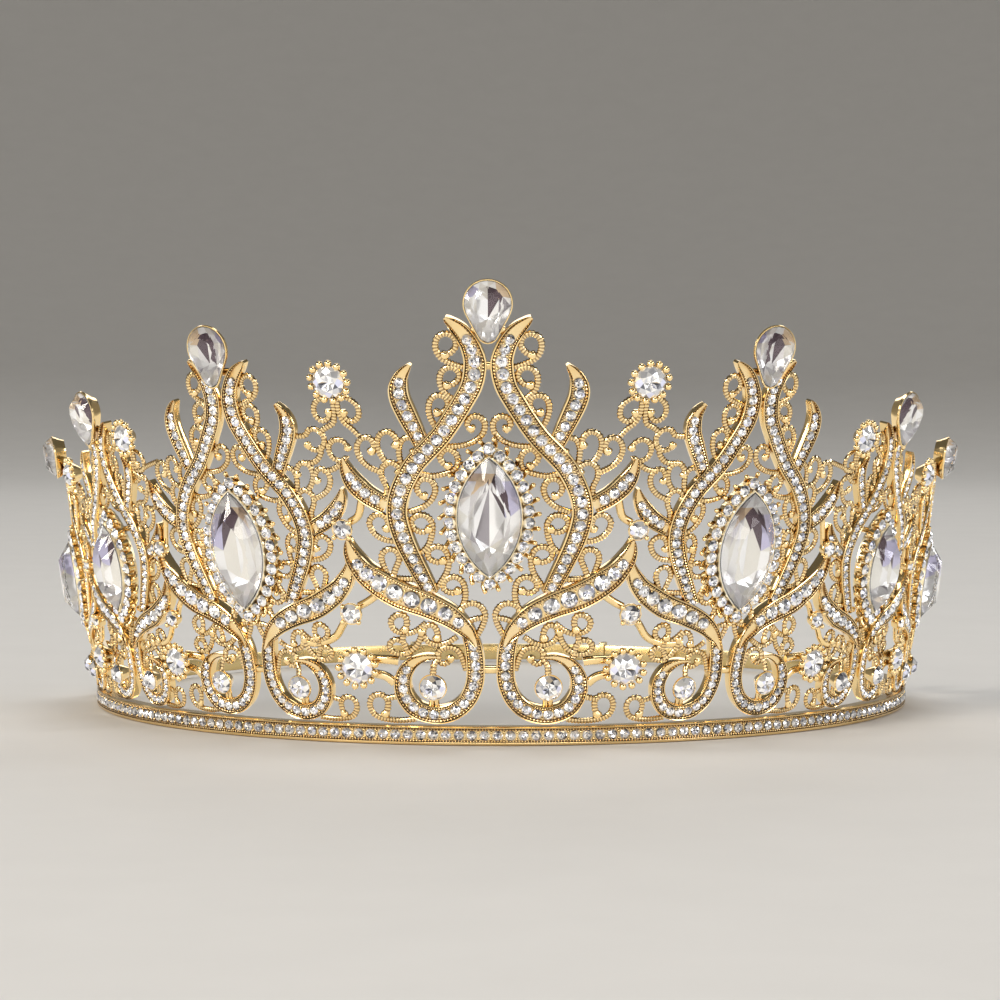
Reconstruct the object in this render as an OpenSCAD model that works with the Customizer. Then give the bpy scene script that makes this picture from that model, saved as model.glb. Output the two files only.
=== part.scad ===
// Pageant crown: a stone-set front band, seven openwork crest panels and a plain back band.
// Frame: +Z up, the front of the crown faces -Y, origin at the middle of the ring where it stands.
// A place on the crest is given as [across, up] in mm on the middle panel, and is scaled for the others.

/* [Ring] */
// Outer radius of the ring at its foot
ring_r = 75; // [70:0.5:80]
// Height of the front band
band_h = 3.2; // [2.8:0.1:3.6]
// Thickness of the front band, measured to the middle of the ring
band_t = 2.6; // [2.2:0.1:3]
// Angle from the front to each end of the front band
band_end = 112; // [109:1:115]
// Height of the back band
back_h = 3.2; // [3:0.1:3.6]
// Thickness of each back strip
back_t = 0.8; // [0.6:0.1:1]
// Angle from the front to where each back strip meets the front band
back_start = 105; // [103:1:107]
// Angle that each back strip runs on past the middle of the back
back_lap = 16; // [12:1:20]

/* [Crest] */
// Outward lean of the crest at the front
lean_front = 15; // [12:0.5:17]
// Outward lean of the crest at the sides
lean_side = 8; // [6:0.5:12]
// Thickness of the stone-set strips
strip_t = 1.9; // [1.6:0.1:2.2]
// Width of the curled wires
wire_w = 1.0; // [0.9:0.05:1.2]
// Radius of a wire loop, to the middle of the wire
loop_r = 2; // [1.9:0.05:2.1]

/* [Stones] */
// Clearance between a stone and its cup
stone_gap = 0.12; // [0.1:0.01:0.2]
// Radius of the round stones low between the panels
low_stone_r = 2.5; // [2.3:0.1:2.6]
// Radius of the round stones high between the panels
top_stone_r = 2.35; // [2.1:0.05:2.5]
// Radius of the round stones in the scrolls
scroll_stone_r = 2.05; // [1.8:0.05:2.15]

/* [Hidden] */
// One row for each panel, from the front to the side. Columns:
ANGLE = 0;    // angle from the front, degrees
SPREAD = 1;   // width against the middle panel
RISE = 2;     // height against the middle panel
BOAT_AT = 3;  // height of the boat-shaped stone's middle, mm on the middle panel's scale
BOAT_A = 4;   // half its length, mm
BOAT_B = 5;   // half its width, mm
DROP_A = 6;   // drop-shaped stone, middle of its round end to its point, mm
DROP_R = 7;   // radius of its round end, mm
LOOP_N = 8;   // wire loops on one side
TOP_X = 9;    // round stone above the gap before this panel, mm across on the middle panel's scale
PANELS = [
    [0,    1.00, 1.00,  39.9, 10.1, 5.20, 6.5, 3.65, 6, 0],
    [30.3, 0.85, 0.89,  37.0, 10.1, 5.20, 6.5, 3.65, 6, -24.6],
    [55.5, 0.67, 0.727, 37.6, 7.7,  3.80, 5.9, 3.35, 3, -17],
    [76.5, 0.56, 0.613, 37.3, 6.7,  3.30, 4.6, 2.70, 2, -22],
];

// Strips of the middle panel, one side. Columns: across, up, width.
// The long strip that leans in at the top and crosses to the flame below
LONG_STRIP = [
    [6.5, 72, 0.8], [3.6, 68.8, 2.4], [2.1, 64.6, 3.4], [3.4, 59.4, 3.5], [7.3, 53.3, 3.5],
    [12.2, 47.7, 3.5], [14.8, 41.6, 3.5], [13.8, 36, 3.4], [9.6, 27, 2.6],
];
// The flame, which runs on as the scroll
FLAME = [
    [22.5, 34.3, 0.8], [20, 30, 3.4], [15, 26.2, 4.7], [8, 22.7, 4], [3.7, 17.4, 3],
    [2.9, 11.4, 3], [5.6, 6.4, 3], [10.8, 5.5, 3], [14.5, 9.2, 3], [13.6, 13.4, 2.3], [10.4, 15, 0.8],
];
// The small leaf beside the top of the long strip
UPPER_LEAF = [[12.6, 63.7, 0.7], [14.2, 59.4, 2.8], [13, 54.6, 2.8], [10.6, 50.6, 2.2]];
// The leaf that points outward from the widest part
SIDE_LEAF = [[23.4, 47.8, 0.7], [22.6, 43.8, 2.9], [19.4, 41, 3.1], [15.2, 39.4, 2.6]];
// The foot wire, which curls up beside the scroll
FOOT_WIRE = [[10.6, 4.9, 1], [17.2, 4.3, 1], [20, 5.4, 1], [20, 8, 1], [17.8, 8.6, 1]];
// Middles of the wire loops of one side: above the long strip, inside it, and under the flame
LOOPS = [[4.8, 51.6], [10.8, 41.5], [8.3, 32.4], [8.9, 58.6], [15, 21.8], [9.6, 20.2]];
// Middle of the round stone in the scroll, and the foot of its stem
SCROLL_STONE = [9.2, 10.6];
SCROLL_STEM = [9.2, 6];
// Bars across the middle: between the long strips, under the drop-shaped stone and between the scrolls.
// Columns: reach to each side, up, width
CROSS_BARS = [[2, 64.6, 1.6], [3.2, 67.9, 1], [2.9, 12, 1.2]];
// Middle of the drop-shaped stone's round end
DROP_AT = 74.8;
// Round stone low between two panels, measured on the nearer one to the front
LOW_STONE = [21.6, 13.7];
// Height of the round stone high between two panels, measured on the farther one, and the wire that carries it
TOP_UP = 69.3;
function top_wire(x) = [[x, 66.8, 1], [x / 2 - 10, 62.5, 1], [-19, 57, 1], [-20.6, 51.5, 1], [-22.2, 45.6, 1]];
function top_loop(x) = [x / 4 - 16.6, 59.6];
// The end leaf past the third panel, measured in mm from the side of the ring. Columns: across, up, width.
END_LEAF = [[-5.4, 17.6, 0.8], [-4.4, 14, 3], [-1.4, 10.6, 3.6], [2.4, 8, 3], [6, 6.8, 1.6], [9.3, 6.9, 1.4]];
END_WIRE = [[-10, 6.6, 1], [-6, 5, 1], [-2, 4.4, 1], [1.6, 5.4, 1], [2.4, 8, 1]];
END_STONE = [11.2, 7.2];
// Where the crest's foot stands
foot_gap = 0.1;
crest_foot = band_h + foot_gap;
foot_out = ring_r - 1.6;
// How far the long strips and the leaves lie inside the flames' back and front, and where the wires lie
strip_inset = 0.15;
leaf_inset = [0.25, 0.3];
wire_back = 0.35;
wire_front = 1.45;
end_wire_back = 0.5;
end_wire_front = 1.6;
// The stones' cups, and the plate round a boat-shaped stone
cup_wall = 0.45;
cup_front = 2.6;
plate_w = 2.9;
plate_back = 0.3;
plate_front = 1.4;
bar_w = 1;
bar_back = 0.42;
// How far from a round stone's edge a bar ends inside its cup's wall
bar_reach = 0.15;
// Cut stones. Columns: height of the back, the girdle and the table above the crest's back face, table's share
BOAT_CUT = [0.6, 3, 5.2, 0.62];
DROP_CUT = [1.1, 3.2, 4.8, 0.6];
ROUND_CUT = [0.5, 2.4, 3.5, 0.58];
arc_fn = 180;
round_sides = 8;
loop_sides = 6;
boat_arc_steps = 6;
drop_arc_points = 7;
collar_wall = 0.5;
collar_w = 1;
back_gap = 0.1;
back_foot = collar_wall + back_gap;
back_out = ring_r - band_t - back_gap;
back_in = back_out - back_t - back_gap;
// Where the right strip steps inward, half the length of the step, and how far joined pieces reach into each other
step_at = 152;
step_arc = 0.8;
join = 0.08;
SIDES = ["left", "right"];
OUTER = [1, 2, 3];

// The crest's surface. The lean falls smoothly from the front to the sides.
function lean(phi) = lean_front - (lean_front - lean_side) * pow(sin(phi), 2);
function radius(phi, up) = foot_out + (up - crest_foot) * sin(lean(phi));
function cone(phi, up, out) =
    let (a = lean(phi), rho = radius(phi, up) + out * cos(a))
    [rho * sin(phi), -rho * cos(phi), crest_foot + (up - crest_foot) * cos(a) - out * sin(a)];

// A place on panel p, and the angle there
function rise(p, up) = crest_foot + PANELS[p][RISE] * (up - crest_foot);
function turn(p, across, up) =
    PANELS[p][ANGLE] + PANELS[p][SPREAD] * across / radius(PANELS[p][ANGLE], rise(p, up)) * 180 / PI;
function place(p, across, up, out) = cone(turn(p, across, up), rise(p, up), out);
// The same past the third panel, unscaled, from the side of the ring
function place_end(across, up, out) = cone(90 + across / radius(90, up) * 180 / PI, up, out);

// Left-hand normal of a path at point i
function normal(path, i) =
    let (a = path[max(i - 1, 0)], b = path[min(i + 1, len(path) - 1)], d = [b[0] - a[0], b[1] - a[1]])
    [-d[1], d[0]] / norm(d);
function flip(path, s) = [for (q = path) [s * q[0], q[1], q[2]]];

// A solid swept through sections that all have the same number of corners
module sweep(sections) {
    n = len(sections);
    m = len(sections[0]);
    side_faces = [for (i = [0 : n - 2], k = [0 : m - 1])
        let (k1 = (k + 1) % m) each [
            [i * m + k1, i * m + k, (i + 1) * m + k],
            [i * m + k1, (i + 1) * m + k, (i + 1) * m + k1],
        ]];
    start_face = [for (k = [0 : m - 1]) k];
    end_face = [for (k = [m - 1 : -1 : 0]) (n - 1) * m + k];
    polyhedron([for (s = sections) each s], [each side_faces, start_face, end_face]);
}

// A flat strip laid on panel p along a path of [across, up, width]
module strip(p, path, back = 0, front = strip_t) {
    sweep([for (i = [0 : len(path) - 1])
        let (q = path[i], v = normal(path, i) * q[2] / 2) [
            place(p, q[0] + v[0], q[1] + v[1], back),
            place(p, q[0] + v[0], q[1] + v[1], front),
            place(p, q[0] - v[0], q[1] - v[1], front),
            place(p, q[0] - v[0], q[1] - v[1], back),
        ]]);
}

// A solid between two sections of three corners each
module span(a, b) {
    hull() sweep([a, b]);
}

// A wire with a ridged front, laid on panel p along a path
function wire_section(p, path, i) =
    let (q = path[i], v = normal(path, i) * wire_w / 2) [
        place(p, q[0] + v[0], q[1] + v[1], wire_back),
        place(p, q[0], q[1], wire_front),
        place(p, q[0] - v[0], q[1] - v[1], wire_back),
    ];
module wire(p, path) {
    for (i = [0 : len(path) - 2]) span(wire_section(p, path, i), wire_section(p, path, i + 1));
}

// The same strip past the third panel
module end_strip(path, back, front) {
    sweep([for (i = [0 : len(path) - 1])
        let (q = path[i], v = normal(path, i) * q[2] / 2) [
            place_end(q[0] + v[0], q[1] + v[1], back),
            place_end(q[0] + v[0], q[1] + v[1], front),
            place_end(q[0] - v[0], q[1] - v[1], front),
            place_end(q[0] - v[0], q[1] - v[1], back),
        ]]);
}

// Stands the children on the crest: x across, y up and z out
module stand(phi, up) {
    rotate([0, 0, phi])
        translate([0, -radius(phi, up), crest_foot + (up - crest_foot) * cos(lean(phi))])
            rotate([90 + lean(phi), 0, 0])
                children();
}

module seat(p, across, up) {
    stand(turn(p, across, up), rise(p, up)) children();
}

module seat_end(across, up) {
    stand(90 + across / radius(90, up) * 180 / PI, up) children();
}

// A short soldered bar between two places of panel p
module bar(p, from, to, width = bar_w) {
    hull() strip(p, [[from[0], from[1], width], [to[0], to[1], width]], bar_back, plate_front);
}

// Outlines. The boat is two arcs, and the drop is an arc with a point.
function boat_radius(a, b) = (a * a + b * b) / (2 * b);
function boat(a, b, off, m) =
    let (r = boat_radius(a, b), reach = acos((r - b) / (r + off)))
    [for (s = [1, -1], i = [0 : m - 1])
        let (t = -reach + 2 * reach * i / m) s * [(r + off) * cos(t) - (r - b), (r + off) * sin(t)]];
function drop(a, r, off, m) =
    let (reach = 90 + asin(r / a), tip = -a - off * a / r)
    [for (i = [0 : m - 1]) let (t = 90 - reach + 2 * reach * i / (m - 1)) (r + off) * [cos(t), sin(t)], [0, tip]];
function circle_points(r, m) = [for (i = [0 : m - 1]) r * [cos(360 * (i + 0.5) / m), sin(360 * (i + 0.5) / m)]];

// A cut stone: pointed back, sharp girdle, sloping crown and flat table
module gem(outline, cut) {
    n = len(outline);
    points = [
        [0, 0, cut[0]],
        for (q = outline) [q[0], q[1], cut[1]],
        for (q = outline) [q[0] * cut[3], q[1] * cut[3], cut[2]],
    ];
    faces = [
        for (i = [0 : n - 1]) [0, 1 + i, 1 + (i + 1) % n],
        for (i = [0 : n - 1]) each [
            [1 + i, 1 + n + i, 1 + (i + 1) % n],
            [1 + n + i, 1 + n + (i + 1) % n, 1 + (i + 1) % n],
        ],
        [for (i = [n - 1 : -1 : 0]) 1 + n + i],
    ];
    polyhedron(points, faces);
}

module cup(inside, outside, back, front) {
    translate([0, 0, back])
        linear_extrude(front - back)
            difference() {
                polygon(outside);
                polygon(inside);
            }
}

// The plate round a boat-shaped stone, which rises from its outer edge to the stone's girdle
module collet(inside, outside) {
    n = len(inside);
    points = [for (i = [0 : n - 1]) each [
        [outside[i][0], outside[i][1], plate_back],
        [outside[i][0], outside[i][1], plate_front],
        [inside[i][0], inside[i][1], BOAT_CUT[1]],
        [inside[i][0], inside[i][1], plate_back],
    ]];
    faces = [for (i = [0 : n - 1], k = [0 : 3])
        let (j = (i + 1) % n, k1 = (k + 1) % 4) each [
            [i * 4 + k, i * 4 + k1, j * 4 + k],
            [i * 4 + k1, j * 4 + k1, j * 4 + k],
        ]];
    polyhedron(points, faces);
}

module round_cup(r) {
    cup(circle_points(r + stone_gap, round_sides), circle_points(r + stone_gap + cup_wall, round_sides),
        plate_back, cup_front);
}

// A bar of oblong section round the ring, from one angle to another
module arc(r0, r1, z0, z1, from, to) {
    rotate([0, 0, from - 90])
        rotate_extrude(angle = to - from, $fn = arc_fn)
            translate([r0, z0])
                square([r1 - r0, z1 - z0]);
}

module front_band() {
    color("gold") arc(ring_r - band_t, ring_r, 0, band_h, -band_end, band_end);
}

// One wire loop standing on panel p
module loop(p, across, up) {
    r = loop_r * PANELS[p][SPREAD];
    seat(p, across, up) ring(r - wire_w / 2, r + wire_w / 2);
}

// A flat ring with a ridged front
module ring(inside, outside) {
    n = loop_sides;
    points = [for (q = circle_points(1, n)) each [
        [q[0] * outside, q[1] * outside, wire_back],
        [q[0] * (inside + outside) / 2, q[1] * (inside + outside) / 2, wire_front],
        [q[0] * inside, q[1] * inside, wire_back],
    ]];
    faces = [for (i = [0 : n - 1], k = [0 : 2])
        let (j = (i + 1) % n, k1 = (k + 1) % 3) each [
            [i * 3 + k, i * 3 + k1, j * 3 + k],
            [i * 3 + k1, j * 3 + k1, j * 3 + k],
        ]];
    polyhedron(points, faces);
}

// What both halves of a panel hold
module half_panel(p, s) {
    strip(p, flip(FLAME, s));
    strip(p, flip(LONG_STRIP, s), strip_inset, strip_t - strip_inset);
    strip(p, flip(UPPER_LEAF, s), leaf_inset[0], strip_t - leaf_inset[1]);
    strip(p, flip(SIDE_LEAF, s), leaf_inset[0], strip_t - leaf_inset[1]);
    wire(p, flip(FOOT_WIRE, s));
    for (i = [0 : PANELS[p][LOOP_N] - 1]) loop(p, s * LOOPS[i][0], LOOPS[i][1]);
    seat(p, s * SCROLL_STONE[0], SCROLL_STONE[1]) round_cup(scroll_stone_size(p));
    bar(p, [s * SCROLL_STEM[0], SCROLL_STEM[1]],
        [s * SCROLL_STONE[0], SCROLL_STONE[1] - (scroll_stone_size(p) + bar_reach) / PANELS[p][RISE]]);
}

// The round stones shrink less than the panels do
function scroll_stone_size(p) = scroll_stone_r * (0.35 + 0.65 * PANELS[p][SPREAD]);
function low_stone_size(p) = low_stone_r * (0.4 + 0.6 * PANELS[p][SPREAD]);
function top_stone_size(p) = top_stone_r * (0.5 + 0.5 * PANELS[p][SPREAD] / PANELS[1][SPREAD]);

module low_junction(p) {
    reach = (low_stone_size(p) + bar_reach) / PANELS[p][SPREAD];
    seat(p, LOW_STONE[0], LOW_STONE[1]) round_cup(low_stone_size(p));
    bar(p, [14.4, 11], [LOW_STONE[0] - reach, LOW_STONE[1] - 1]);
    bar(p, [13.9, 13.6], [LOW_STONE[0] - reach, LOW_STONE[1] + 1]);
}

module top_junction(p) {
    x = PANELS[p][TOP_X];
    seat(p, x, TOP_UP) round_cup(top_stone_size(p));
    wire(p, top_wire(x));
    loop(p, top_loop(x)[0], top_loop(x)[1]);
}

module end_piece() {
    end_strip(END_LEAF, 0, strip_t);
    end_strip(END_WIRE, end_wire_back, end_wire_front);
    seat_end(END_STONE[0], END_STONE[1]) round_cup(low_stone_size(3));
}

module panel(p) {
    row = PANELS[p];
    color("goldenrod")
        union() {
            for (s = [1, -1]) half_panel(p, s);
            seat(p, 0, row[BOAT_AT])
                collet(boat(row[BOAT_A], row[BOAT_B], stone_gap, boat_arc_steps),
                    boat(row[BOAT_A], row[BOAT_B], plate_w, boat_arc_steps));
            seat(p, 0, DROP_AT)
                cup(drop(row[DROP_A], row[DROP_R], stone_gap, drop_arc_points),
                    drop(row[DROP_A], row[DROP_R], stone_gap + cup_wall, drop_arc_points),
                    DROP_CUT[0], DROP_CUT[1]);
            for (q = CROSS_BARS) bar(p, [-q[0], q[1]], [q[0], q[1]], q[2]);
            if (p < 3) low_junction(p);
            if (p == 0) mirror([1, 0, 0]) low_junction(p);
            if (p > 0) top_junction(p);
            if (p == 3) end_piece();
        }
}

// The stones' nodes
module marquise(p) {
    row = PANELS[p];
    color("white") seat(p, 0, row[BOAT_AT]) gem(boat(row[BOAT_A], row[BOAT_B], 0, boat_arc_steps), BOAT_CUT);
}

module pear(p) {
    row = PANELS[p];
    color("white") seat(p, 0, DROP_AT) gem(drop(row[DROP_A], row[DROP_R], 0, drop_arc_points), DROP_CUT);
}

module round_stone(r) {
    color("white") gem(circle_points(r, round_sides), ROUND_CUT);
}

module scroll_stone(p, s) {
    seat(p, s * SCROLL_STONE[0], SCROLL_STONE[1]) round_stone(scroll_stone_size(p));
}

module junction_low(p) {
    seat(p, LOW_STONE[0], LOW_STONE[1]) round_stone(low_stone_size(p));
}

module junction_top(p) {
    seat(p, PANELS[p][TOP_X], TOP_UP) round_stone(top_stone_size(p));
}

module end_stone() {
    seat_end(END_STONE[0], END_STONE[1]) round_stone(low_stone_size(3));
}

// The back strips. The left one keeps to the outside and the right one steps inside it before they overlap.
module back_body(r, from, to) {
    arc(r - back_t, r, back_foot, back_foot + back_h, from, to);
}

// A collar at angle a that goes round a space from r0 to r1
module collar(a, r0, r1) {
    half = collar_w / ring_r * 180 / PI / 2;
    difference() {
        arc(back_in - back_t - collar_wall, back_out + collar_wall, 0, back_h + 2 * back_foot, a - half, a + half);
        arc(r0, r1, back_foot - back_gap, back_foot + back_h + back_gap, a - 2 * half, a + 2 * half);
    }
}

module back_strip_left() {
    color("khaki") {
        back_body(back_out, 180 - back_lap, 360 - back_start);
        collar(180 - back_lap, back_in - back_t - back_gap, back_out - back_t + join);
    }
}

module back_strip_right() {
    color("khaki") {
        back_body(back_out, back_start, step_at);
        arc(back_in - back_t + join, back_out - join, back_foot + join, back_foot + back_h - join,
            step_at - step_arc, step_at + step_arc);
        back_body(back_in, step_at, 180 + back_lap);
        collar(180 + back_lap, back_in - join, back_out + back_gap);
    }
}

module on_side(s) {
    if (s == "left") mirror([1, 0, 0]) children();
    else children();
}

front_band();
back_strip_left();
back_strip_right();
panel(0);  // panel_center
marquise(0);  // marquise_center
pear(0);  // pear_center
scroll_stone(0, -1);  // scroll_stone_center_left
scroll_stone(0, 1);  // scroll_stone_center_right
for (s = SIDES) {
    on_side(s) end_stone();
    for (i = OUTER) {
        on_side(s) panel(i);
        on_side(s) marquise(i);
        on_side(s) pear(i);
        on_side(s) scroll_stone(i, -1);
        on_side(s) scroll_stone(i, 1);
        on_side(s) junction_low(i - 1);
        on_side(s) junction_top(i);
    }
}
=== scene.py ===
"""Pageant crown: the looks of a gold-plated crown set with clear stones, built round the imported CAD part.

The crest is drawn flat in mm, one panel at a time, as across, up and out. It is then bent onto the cone that
the CAD crest lies on. Everything ends up in metres in the CAD frame.
"""

import math
import random

import bpy
import numpy as np
from mathutils import Matrix, Vector


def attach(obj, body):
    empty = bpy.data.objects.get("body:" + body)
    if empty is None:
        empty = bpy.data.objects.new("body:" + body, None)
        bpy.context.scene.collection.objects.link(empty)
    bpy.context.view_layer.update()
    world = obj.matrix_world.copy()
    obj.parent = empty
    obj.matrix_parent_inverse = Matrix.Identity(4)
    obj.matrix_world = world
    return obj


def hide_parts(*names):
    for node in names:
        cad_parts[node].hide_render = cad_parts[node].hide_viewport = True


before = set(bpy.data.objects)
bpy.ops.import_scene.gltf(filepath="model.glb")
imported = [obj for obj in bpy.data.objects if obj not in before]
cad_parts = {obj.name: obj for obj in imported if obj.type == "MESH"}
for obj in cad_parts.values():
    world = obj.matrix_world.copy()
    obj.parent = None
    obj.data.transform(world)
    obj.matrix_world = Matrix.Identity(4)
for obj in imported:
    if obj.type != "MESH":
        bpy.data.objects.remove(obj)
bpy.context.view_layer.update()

bl_info = {
    "name": "Pageant crown",
    "version": (1, 0, 0),
    "blender": (4, 5, 0),
    "location": "View3D > Sidebar > Crown",
    "description": "Builds a stone-set pageant crown on its CAD frame",
    "category": "Add Mesh",
}

MM = 0.001

# The ring, the crest's surface and the strips, in mm and degrees as the CAD part has them
RING_R = 75.0
BAND_T = 2.6
BAND_END = 112.0
CREST_FOOT = 3.3
FOOT_OUT = 73.4
LEAN_FRONT = 15.0
LEAN_DROP = 7.0
STRIP_T = 1.9
SIDE = math.radians(90.0)

# The back strips: outer radius of the strip that lies outside and of the one inside, thickness, height over
# the floor, width, and the play in the collars
BACK_OUTER = 72.3
BACK_INNER = 71.4
BACK_T = 0.8
BACK_FOOT = 0.6
BACK_HIGH = 3.2
BACK_PLAY = 0.1

# Wires: the share of the radius left in a groove, the depth as a share of the width, the knob at the free
# end, and the height of their middles over the back of the crest
RIDGE_DEPTH = 0.74
WIRE_FLAT = 0.7
KNOB = (0.75, 1.25, 1.35, 1.15)
WIRE_Z = 0.9

# Beaded lines are cut this far apart. The real ones are about 0.42 mm apart, too fine to show.
NOTCH = 0.5

# The ring round a boat-shaped stone: how far outside it the small stones, the feet and knees of the hooks and
# the outer beads lie
HALO_OUT = 1.05
HOOK_FEET = 1.0
HOOK_KNEES = 2.2
HALO_BEADS = 2.65

# Random facet numbers of a large stone's back stay under this, so the rare colours, painted coloured
# reflections, lie only where its tints put them
PLAIN_TINTS = 0.84

# The radius of a drop's blunt point, as a share of its round end's
BLUNT = 0.42


class Panel:
    """One panel kind: where it stands, how it is scaled and the size of its large stones."""

    def __init__(self, angle, spread, rise, boat_at, boat_a, boat_b, drop_a, drop_r, top_x, halo):
        self.angle = math.radians(angle)
        self.spread = spread
        self.rise = rise
        self.boat_at = boat_at
        self.boat_a = boat_a
        self.boat_b = boat_b
        self.drop_a = drop_a
        self.drop_r = drop_r
        self.top_x = top_x
        self.halo = halo
        # Wires, rails and small stones shrink less than the panel does
        self.wire = 0.45 + 0.55 * spread
        self.detail = 0.5 + 0.5 * spread


# Each panel kind from the middle out: its angle, spread and rise, the boat-shaped stone's height and half sizes,
# the drop's length and radius, the place across of its top round stone, and the number of halo stones
PANELS = [
    Panel(0.0, 1.00, 1.00, 39.9, 10.1, 5.20, 8.3, 3.8, 0.0, 26),
    Panel(30.3, 0.85, 0.89, 37.0, 10.1, 5.20, 8.3, 3.8, -24.6, 26),
    Panel(55.5, 0.67, 0.727, 37.6, 7.7, 3.80, 7.5, 3.45, -17.0, 20),
    Panel(76.5, 0.56, 0.613, 37.3, 6.7, 3.30, 6.0, 2.78, -22.0, 18),
]

# Strips of one side of the middle panel: across, up, width
LONG_STRIP = [
    (6.8, 72.5, 0.5), (6.4, 72.2, 1.1), (5.6, 71.5, 1.9), (4.4, 70.4, 2.7), (3.1, 68.5, 3.1),
    (2.25, 66.2, 3.5), (2.1, 64.6, 3.7), (2.5, 62, 3.6), (3.7, 59.4, 3.5), (7.5, 53.3, 3.5),
    (12.3, 47.7, 3.5), (14.7, 41.6, 3.5), (13.8, 36, 3.4), (9.9, 27.6, 2.7), (8.7, 25.2, 2.3),
]
FLAME = [
    (23.1, 35.4, 0.5), (23, 34.9, 1.2), (22.7, 33.6, 2.3), (21.9, 32, 3.2), (20.6, 30.3, 3.8),
    (18.4, 28.5, 4.4), (14.7, 26.3, 4.7), (10.2, 24.6, 4.4), (6.6, 22.8, 3.9), (4.2, 20.8, 3),
    (2.9, 19.2, 1.8), (2.2, 17.6, 0.5),
]
SCROLL = [
    (3.4, 19.6, 2.4), (2.7, 17.2, 2.9), (2.4, 14, 3), (2.6, 11, 3), (3.9, 8, 3), (6.2, 6.1, 3.1),
    (9.2, 5.5, 3.1), (12.2, 6.5, 3.1), (14, 9, 3), (14.2, 11.8, 2.8), (12.9, 14.2, 2.2), (10.8, 15.4, 1.2),
    (8.7, 15.6, 0.5),
]
UPPER_LEAF = [
    (12.4, 64.8, 0.5), (12.7, 64.4, 1.1), (13.7, 63.1, 2.2), (14.3, 61.2, 3.2), (14.1, 59.2, 3.4),
    (13, 56.6, 3.3), (11.7, 53.9, 2.9), (10.5, 51.2, 2.4),
]
SIDE_LEAF = [
    (23.7, 49.1, 0.5), (23.6, 48.6, 1.1), (23.2, 47.2, 2.2), (21.9, 45.1, 3.2), (19.6, 43, 3.3),
    (15.9, 41, 3),
]
END_LEAF = [(-5.4, 17.6, 0.8), (-4.4, 14, 3), (-1.4, 10.6, 3.6), (2.4, 8, 3), (6, 6.8, 1.6), (9.3, 6.9, 1.4)]
END_STONE = (11.2, 7.2)
END_WIRE = [(-10, 6.6), (-6, 5), (-2, 4.4), (1.6, 5.4), (2.4, 8)]
SCROLL_STONE = (9.2, 10.6)
LOW_STONE = (21.6, 13.7)
TOP_UP = 69.3
DROP_AT = 75.2

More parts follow.
